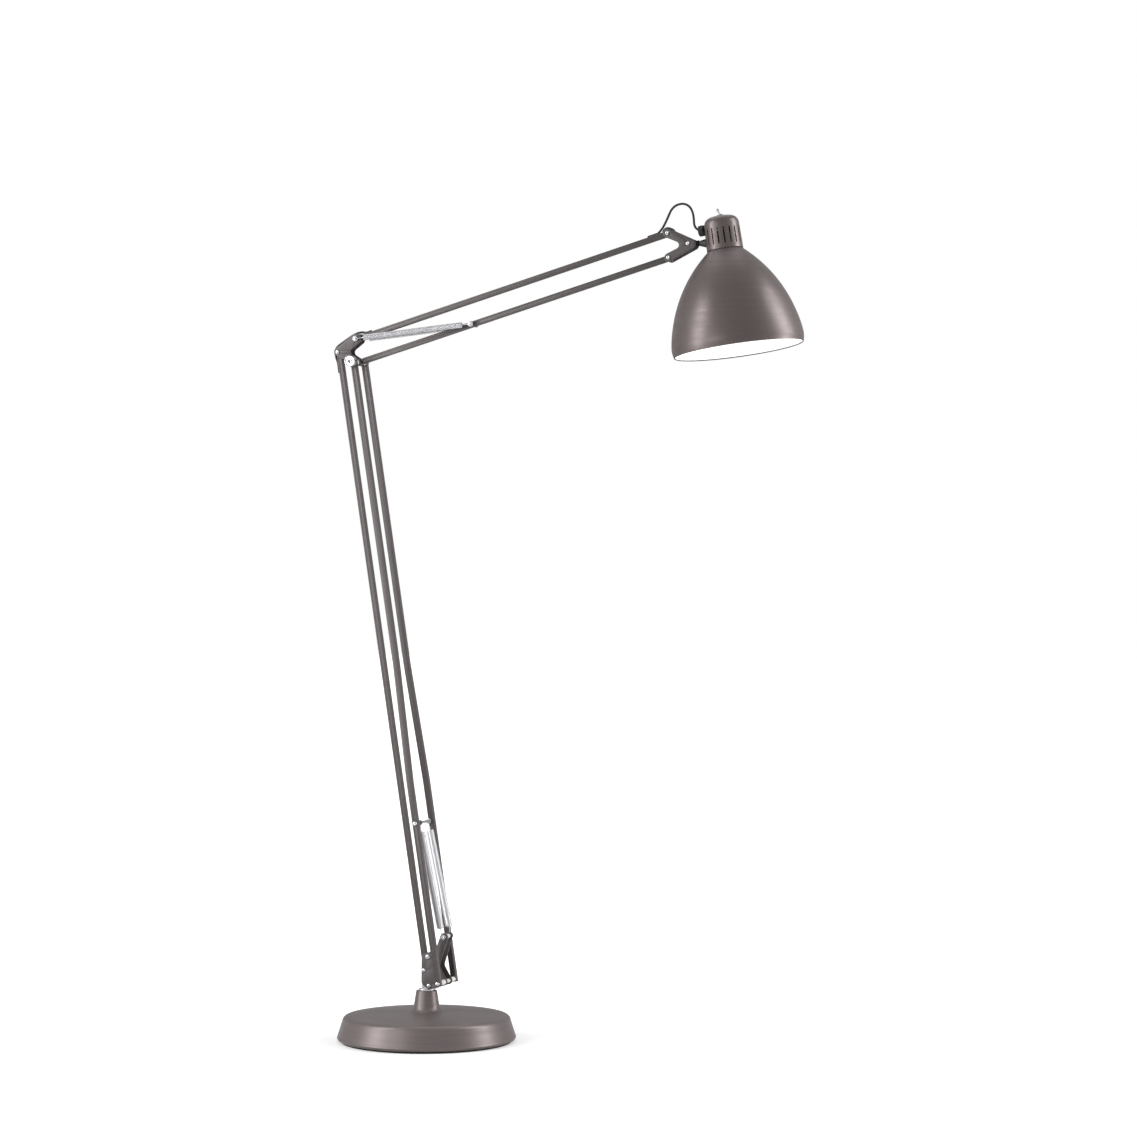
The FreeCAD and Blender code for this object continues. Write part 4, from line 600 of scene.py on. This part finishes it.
def elbow_cables():
    """Elbow cable in two stretches, each over one joint."""
    route = [
        by_mast(2.3, -43), by_mast(10.4, -17.5), by_mast(11.8, 10), by_arm(ARM_ROOT, -32, 5.7),
        by_arm(ARM_ROOT, -3, 13.8), by_arm(ARM_ROOT, 16, 12.3), by_arm(ARM_ROOT, 32.2, 2.3),
    ]
    lower, upper = parted(route, 2)
    cable_piece("elbow_cable_lower_jacket", lower, "elbow_cable_lower")
    cable_piece("elbow_cable_upper_jacket", upper, "elbow_cable_upper")


def head_cables():
    """Head loop in three stretches, each over one joint."""
    route = [
        by_arm(ARM_TIP, -35, 1.9), by_arm(ARM_TIP, -14, 12.2), by_tip(-5, 30), by_tip(8.5, 59.5),
        by_tip(37, 66), by_tip(56, 47), in_head(-63.5, GLAND_HEIGHT), in_head(-36, GLAND_HEIGHT),
    ]
    rear, rest = parted(route, 2)
    fall, front = cut_before_end(rest, GLAND_RUN)
    bend_start = cut_before_end(rest, LOOP_BEND)[1][0]
    cable_piece("head_cable_rear_jacket", rear, "head_cable_rear",
                end=route[2])
    cable_piece("head_cable_fall_jacket", fall, "head_cable_front",
                start=bend_start)
    cable_piece("head_cable_front_jacket", front, "head_cable_front",
                end=in_head(GLAND_FACE, GLAND_HEIGHT))


elbow_cables()
head_cables()


# Foot: radii and heights about the spindle's axis, in millimetres
FLOOR_POINT = (0, 0, 0)
GASKET_TOP = 3.5
NECK_TOP = 114
DOME_RADIUS = 900
FOOT_SEGMENTS = 160


def base_cover():
    """Domed cover turned about the spindle's axis, from the foot's edge to the neck's mouth."""
    edge, widest = [190, GASKET_TOP], [200, 10]
    shoulder, dome_edge = [188, 48], [180, 57.5]
    dome_middle, neck_foot = [42, 66], [28.7, 79]
    neck_lip, neck_mouth = [23.5, 112.2], [21.8, NECK_TOP]
    bore, bore_low, foot_inside = 12.5, 60, 186.5
    outer = [[foot_inside, GASKET_TOP], *arc(edge, widest, 9, 1), *arc(shoulder, dome_edge, 12, 1)]
    outer += [*arc(dome_edge, dome_middle, DOME_RADIUS, 1, 24)[1:]]
    outer += [*arc(dome_middle, neck_foot, 19, -1)[1:], *arc(neck_lip, neck_mouth, 2, 1, 6)]
    inner = [[bore, NECK_TOP], [bore, bore_low], [neck_foot[0], bore_low]]
    inner += [*arc([42, 63.8], [177.8, 55.3], DOME_RADIUS, -1, 24)]
    inner += [[185.8, 45.8], [197.8, 10.5], [foot_inside, 5.7]]
    cover = turned(outer + inner, FLOOR_POINT, UP, FOOT_SEGMENTS)
    finish_piece(new_mesh("base_cover_shell", *cover, foot_lacquer), "base", ["base_cover"])


def foot_rings():
    """Chrome ring on the neck and rubber gasket under the foot."""
    ring = turned(collar(9, 18, NECK_TOP, 117.7, 0.8), FLOOR_POINT, UP, 96)
    finish_piece(new_mesh("neck_ring_chrome", *ring, chrome), "base", ["neck_ring"])
    gasket = turned(collar(179, 190, 0, GASKET_TOP, 0.9), FLOOR_POINT, UP, FOOT_SEGMENTS)
    finish_piece(new_mesh("foot_gasket_ring", *gasket, rubber), "base", ["foot_gasket"])


base_cover()
foot_rings()
dressed("base_weight", cast_iron, "cast_weight", 0.8)
dressed("base_pad", felt, "felt", 0.3)
dressed("neck_bush", bronze, "bronze_bush", 0.2)


# Pins with domed heads that have a round recess, in millimetres
SHAFT = 3
HEAD = 5
TIE_HEAD = 6
HEAD_HEIGHT = 2.8
# A solid turned piece's profile stops this far from its axis
AXIS_GAP = 0.05
# Half lengths of the shafts between the heads
PLATE_OUT = 15.5
LINK_OUT = 12.5
STAY_OUT = 18.3
BAR_AXLE_OUT = 53.75
SPRING_BOLT_OUT = 53.35
HORN_OUT = 26.6
# The bracket's two pins that have no joint
ANCHOR = np.array([12, 0, 126]) * MM
TIE = np.array([9, 0, 190]) * MM


def pin_profile(half, head):
    """Half of a pin from its middle: shaft, then a quarter ellipse for the dome, then the recess."""
    t = np.linspace(0, math.pi / 2, 7)
    mouth = head * 0.46
    top = half + HEAD_HEIGHT
    dome = np.stack([mouth + (head - mouth) * np.cos(t), half + HEAD_HEIGHT * np.sin(t)], -1)
    recess = [[mouth * 0.94, top - 0.4], [mouth * 0.9, half + 0.9], [AXIS_GAP, half + 0.7], [AXIS_GAP, 0]]
    return [[SHAFT, 0], [SHAFT, half], [head, half], *dome.tolist(), *recess]


def pins(name, body, node, listed):
    """Chrome pins across the arms' plane, given as (point, half length, head radius)."""
    halves = [
        turned(pin_profile(half, head), in_plane(point), (0, side, 0), 32)
        for point, half, head in listed
        for side in (-1, 1)
    ]
    finish_piece(new_mesh(name, *merged(halves), chrome), body, [node])


pins("bracket_plate_pins", "bracket", "bracket_pins",
     [(ANCHOR, PLATE_OUT, HEAD), (TIE, PLATE_OUT, TIE_HEAD), (MAST_FOOT, PLATE_OUT, HEAD)])
pins("bar_axle_pin", "bracket", "bar_axle", [(BAR_FOOT, BAR_AXLE_OUT, HEAD)])
pins("horn_bolt_pin", "bracket", "horn_bolt", [(HORN, HORN_OUT, HEAD)])
pins("spring_cross_bolt", "front_bars", "spring_bolt", [(BAR_BOLT, SPRING_BOLT_OUT, HEAD)])
pins("elbow_link_pins", "elbow", "elbow_pins", [(MAST_TOP, LINK_OUT, HEAD), (ARM_ROOT, STAY_OUT, HEAD)])
pins("stay_cross_bolt", "stay", "stay_bolt", [(STAY_BOLT, STAY_OUT, HEAD)])
pins("head_link_pins", "head_bracket", "head_pins",
     [(point, LINK_OUT, HEAD) for point in (ARM_TIP, STAY_TIP, TILT)])


# Springs: close-wound coils that stretch between their two end fittings, in millimetres
SPRING_REACH = 20.0
WIRE_SPACING = 1.06
TURN_POINTS = 20
WIRE_SIDES = 7


def coil(centre, direction, radius, wire, low, high, turns):
    """Wire of round section on a helix: radius times (cos t, sin t) across the axis, rising evenly."""
    u, v, d = axes_of(direction)
    t = np.linspace(0, 2 * math.pi * turns, turns * TURN_POINTS + 1)
    rise = low + (high - low) * t / t[-1]
    outward = np.cos(t)[:, None] * u + np.sin(t)[:, None] * v
    path = centre + radius * outward + rise[:, None] * d
    return tube(path, circle(wire / 2, WIRE_SIDES), outward, d)


def spring_pair(stem, start, stop, spread, radius, wire):
    """Two coils side by side, from end fitting to end fitting, and the fittings themselves."""
    start, stop = in_plane(start), in_plane(stop)
    span = np.linalg.norm(stop - start)
    low = (SPRING_REACH + wire / 2) * MM
    high = span - low
    turns = int((high - low) / (wire * WIRE_SPACING * MM))
    aside = np.array([0, spread * MM, 0])
    pair = [
        coil(start + side * aside, stop - start, radius * MM, wire * MM, low, high, turns)
        for side in (-1, 1)
    ]
    piece = new_mesh(f"{stem}_spring_wire", *merged(pair), nickel)
    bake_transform(piece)
    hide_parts(f"{stem}_coils")
    dressed(f"{stem}_coil_anchors", zinc, "zinc_steel", 0.3)
    dressed(f"{stem}_coil_hooks", zinc, "zinc_steel", 0.3)


spring_pair("lower", HORN, BAR_BOLT, spread=24.8, radius=7.2, wire=2.4)
spring_pair("upper", ARM_ROOT, STAY_BOLT, spread=16.5, radius=5.4, wire=2.0)


# Pieces that keep their CAD form with rounded edges: material, slot, bevel in millimetres and nodes
for finish in (
    (lacquer, "arm_paint", 0.4, "bracket_plate_near", "bracket_plate_far", "elbow_plate_near",
     "elbow_plate_far", "head_plate_near", "head_plate_far", "rear_tube", "front_bar_near", "front_bar_far",
     "upper_tube", "stay_tube"),
    (black_plastic, "black_plastic", 0.3, "rear_tube_plugs", "front_bar_plugs", "upper_tube_plugs",
     "stay_tube_plugs", "mast_grommet", "upper_grommets", "cable_guide"),
    (white_nylon, "white_nylon", 0.2, "bracket_spacers", "elbow_spacers", "head_washers"),
    (zinc, "zinc_steel", 0.5, "spindle"),
    (zinc, "zinc_steel", 0.3, "holder_bridge"),
    (zinc, "zinc_steel", 0.2, "stay_bolt_sleeves"),
    (chrome, "chrome", 0.3, "elbow_axle"),
    (switch_nickel, "chrome", 0.3, "switch_body"),
    (black_lacquer, "black_paint", 0.5, "tilt_knuckle", "head_arm"),
    (porcelain, "porcelain", 0.6, "shade_ring"),
    (porcelain, "porcelain", 0.8, "lamp_holder"),
):
    for node in finish[3:]:
        dressed(node, *finish[:3])


# Elbow knob
def elbow_knob():
    """Turned knob on the elbow's axle: a narrow collar and a wide rim, each a step of the profile."""
    bore, collar_radius, rim_radius = 3.1, 7, 12.5
    collar_out, rim_out, length = 36.8, 44.0, 12.0
    face = rim_out + length
    outline = rounded([[bore, face], [bore, collar_out], [collar_radius, collar_out],
                       [collar_radius, rim_out], [rim_radius, rim_out], [rim_radius, face]], 1.2)
    knob = new_mesh("elbow_knob_turned", *turned(outline, in_plane(BAR_TOP), (0, -1, 0), 72), chrome)
    finish_piece(knob, "knob", ["elbow_knob"])


elbow_knob()


# Head: radii and heights about the shade's middle line, in millimetres above the rim
SHADE_SEGMENTS = 192
LOWER_BELL, UPPER_BELL = 250, 301.6
BEAD_RADIUS, BEAD_HEIGHT, BEAD_WIRE, BEAD_SIDES = 139.9, 1.2, 1.3, 10
CAP_TOP = 292.5
CAP_SIDE_ROWS = 24
CAP_WALL = 2.4
SLOTS = 18
SLOT_LOW, SLOT_HIGH, SLOT_WIDTH, SLOT_RADIUS = 229.0, 266.0, 3.4, 38.8
# Faces across a slot and across the wall between two slots
SLOT_COLUMNS, WALL_COLUMNS = 4, 10


def shade_shell():
    """Spun bell: taupe outside, white inside, with the slow curve of two arcs."""
    lip, widest = [141, 0.4], [143.8, 20]
    outer = [*arc(lip, widest, 60, 1, 10), *arc(widest, [134.5, 67.4], LOWER_BELL, 1, 16)[1:]]
    outer += [*arc([134.5, 67.4], [41.1, 216], UPPER_BELL, 1, 40)[1:], [38.1, 219.6], [20.5, 219.6]]
    inner = [[20.5, 218.1], [36.6, 218.1], *arc([39.6, 214.5], [133, 66.65], UPPER_BELL, -1, 40)]
    inner += [*arc([133, 66.65], [142.3, 20], LOWER_BELL, -1, 16)[1:], [139.5, 0.4]]
    count = len(outer + inner)
    points, faces = turned(outer + inner, RIM, HEAD_UP, SHADE_SEGMENTS)
    # Faces inside the bell take the white enamel, which carries a painted glow
    rows = np.repeat(np.arange(count), SHADE_SEGMENTS)
    tags = ((rows >= len(outer)) & (rows < count - 1)).astype(int)
    shade = new_mesh("shade_shell", points, faces, [shade_lacquer, enamel_painted_glow], tags)
    finish_piece(shade, "head", ["shade"])


def shade_bead():
    """Rolled rim: a round section carried once round the shade's edge."""
    radial = head_radial(np.linspace(0, 2 * math.pi, SHADE_SEGMENTS, endpoint=False))
    path = RIM + BEAD_RADIUS * MM * radial + BEAD_HEIGHT * MM * HEAD_UP
    points = swept(path, circle(BEAD_WIRE * MM, BEAD_SIDES), radial, HEAD_UP)
    rim = new_mesh("shade_rolled_rim", points, grid_faces(SHADE_SEGMENTS, BEAD_SIDES, True, True), lacquer)
    finish_piece(rim, "head")


def cap_profile():
    """Outer line of the cap from its foot to the top's middle, as (radius, height)."""
    foot, shoulder, crown = [39.6, 220], [38, 273], [20, CAP_TOP]
    side = np.linspace(foot, shoulder, CAP_SIDE_ROWS)
    return np.concatenate([side, arc(shoulder, crown, 18, 1, 12)[1:], [[13, CAP_TOP], [6.2, CAP_TOP]]])


def cap_shell():
    """Cap as a grid of angle and height with its slots left open, given a wall."""
    base_angle = 2 * math.pi / SLOTS
    half_slot = SLOT_WIDTH / 2 / SLOT_RADIUS
    inside = np.linspace(-half_slot, half_slot, SLOT_COLUMNS + 1)
    outside = np.linspace(half_slot, base_angle - half_slot, WALL_COLUMNS + 1)[1:-1]
    one = np.concatenate([inside, outside])
    angles = (one[None] + base_angle * (np.arange(SLOTS)[:, None] + 0.5)).ravel()
    profile = cap_profile()
    side, heights = profile[:CAP_SIDE_ROWS].copy(), profile[:, 1].copy()
    low_row, high_row = (int(np.argmin(abs(heights - height))) for height in (SLOT_LOW, SLOT_HIGH))
    for row, height in ((low_row, SLOT_LOW), (high_row, SLOT_HIGH)):
        profile[row] = [np.interp(height, side[:, 1], side[:, 0]), height]
    radius, height = profile[:, 0, None, None] * MM, profile[:, 1, None, None] * MM
    points = RIM + radius * head_radial(angles) + height * HEAD_UP
    rows, columns = len(profile), len(angles)
    row = np.repeat(np.arange(rows - 1), columns)
    column = np.tile(np.arange(columns), rows - 1) % len(one)
    opened = (row >= low_row) & (row < high_row) & (column < SLOT_COLUMNS)
    corner = (row == low_row) | (row == high_row - 1)
    opened &= ~(corner & ((column == 0) | (column == SLOT_COLUMNS - 1)))
    quads = grid_faces(rows, columns, False, True)[~opened]
    cap = new_mesh("lamp_cap_shell", points.reshape(-1, 3), quads, shade_lacquer)
    wall = cap.modifiers.new("wall", "SOLIDIFY")
    wall.thickness = CAP_WALL * MM
    wall.offset = -1
    apply_modifiers(cap)
    cap.data.set_sharp_from_angle(angle=SHARP_TURN)
    finish_piece(cap, "head", ["lamp_cap"])


def knurl(t):
    """Twenty ridges round a nut: one less a small depth, plus the depth times a wave of the angle."""
    ridges, depth = 20, 0.035
    return 1 + depth * np.cos(t * ridges) - depth


def gland():
    """Cable gland: a knurled nut and a plain neck on one axis."""
    face = in_head(GLAND_FACE, GLAND_HEIGHT)
    bore, segments = 2.8, 160
    outline = rounded([[bore, 0], [10.5, 0], [12, 2], [12, 11], [11, 12.7], [bore, 12.7]], 0.9)
    nut = turned(outline, face, HEAD_OUT, segments, knurl)
    neck = turned(collar(bore, 5.5, 12, 25.5, 0.4), face, HEAD_OUT, segments)
    body = new_mesh("cable_gland_knurled", *merged([nut, neck]), black_plastic)
    finish_piece(body, "head", ["cable_gland"])


def hexagon(t):
    """Six flats round a nut: one over the cosine of the angle from the middle of the nearest flat."""
    return 1 / np.cos((t + math.pi / 6) % (math.pi / 3) - math.pi / 6)


def switch_parts():
    """Hexagon nut and bat lever of the toggle switch."""
    nut = turned(collar(6.1, 7.9, 0, 3, 0.5), in_head(0, CAP_TOP), HEAD_UP, 96, hexagon)
    finish_piece(new_mesh("switch_nut_hex", *nut, switch_nickel), "head", ["switch_nut"])
    lean = HEAD_LEAN + math.radians(18)
    way = np.array([-math.sin(lean), 0, math.cos(lean)])
    ball_radius, bat_radius, bat_height, bat_crown, axis_gap = 3.2, 2.9, 15.2, 2.2, 0.02
    low, high = np.linspace(-math.pi / 2, 0.9, 8), np.linspace(0, math.pi / 2, 7)
    ball = np.stack([ball_radius * np.cos(low), ball_radius * np.sin(low)], -1)
    bat = np.stack([bat_radius * np.cos(high), bat_height + bat_crown * np.sin(high)], -1)
    line = np.concatenate([ball, [[1.6, 3.2], [1.5, 5]], bat])
    line[0, 0] = line[-1, 0] = axis_gap
    lever = new_mesh("switch_lever_bat", *turned(line, LEVER, way, 40), switch_nickel)
    finish_piece(lever, "lever", ["switch_lever"])


def bulb():
    """Pear-shaped lamp: half a sphere, an arc that draws it in to the neck, and a straight foot."""
    centre, radius, neck_height, neck = 113.6, 30.0, 36, 17
    foot, foot_low, foot_high = 13, 179.6, 197.6
    t = np.linspace(-math.pi / 2, 0, 24)
    glass = np.stack([radius * np.cos(t), centre + radius * np.sin(t)], -1)
    shoulder = arc([radius, centre], [neck, centre + neck_height], 38, 1, 16)[1:]
    line = np.concatenate([glass, shoulder, [[foot, foot_low], [foot, foot_high], [AXIS_GAP, foot_high]]])
    line[0, 0] = AXIS_GAP
    lamp = new_mesh("bulb_glass", *turned(line, RIM, HEAD_UP, 96), opal)
    finish_piece(lamp, "head", ["bulb"])


shade_shell()
shade_bead()
cap_shell()
gland()
switch_parts()
bulb()
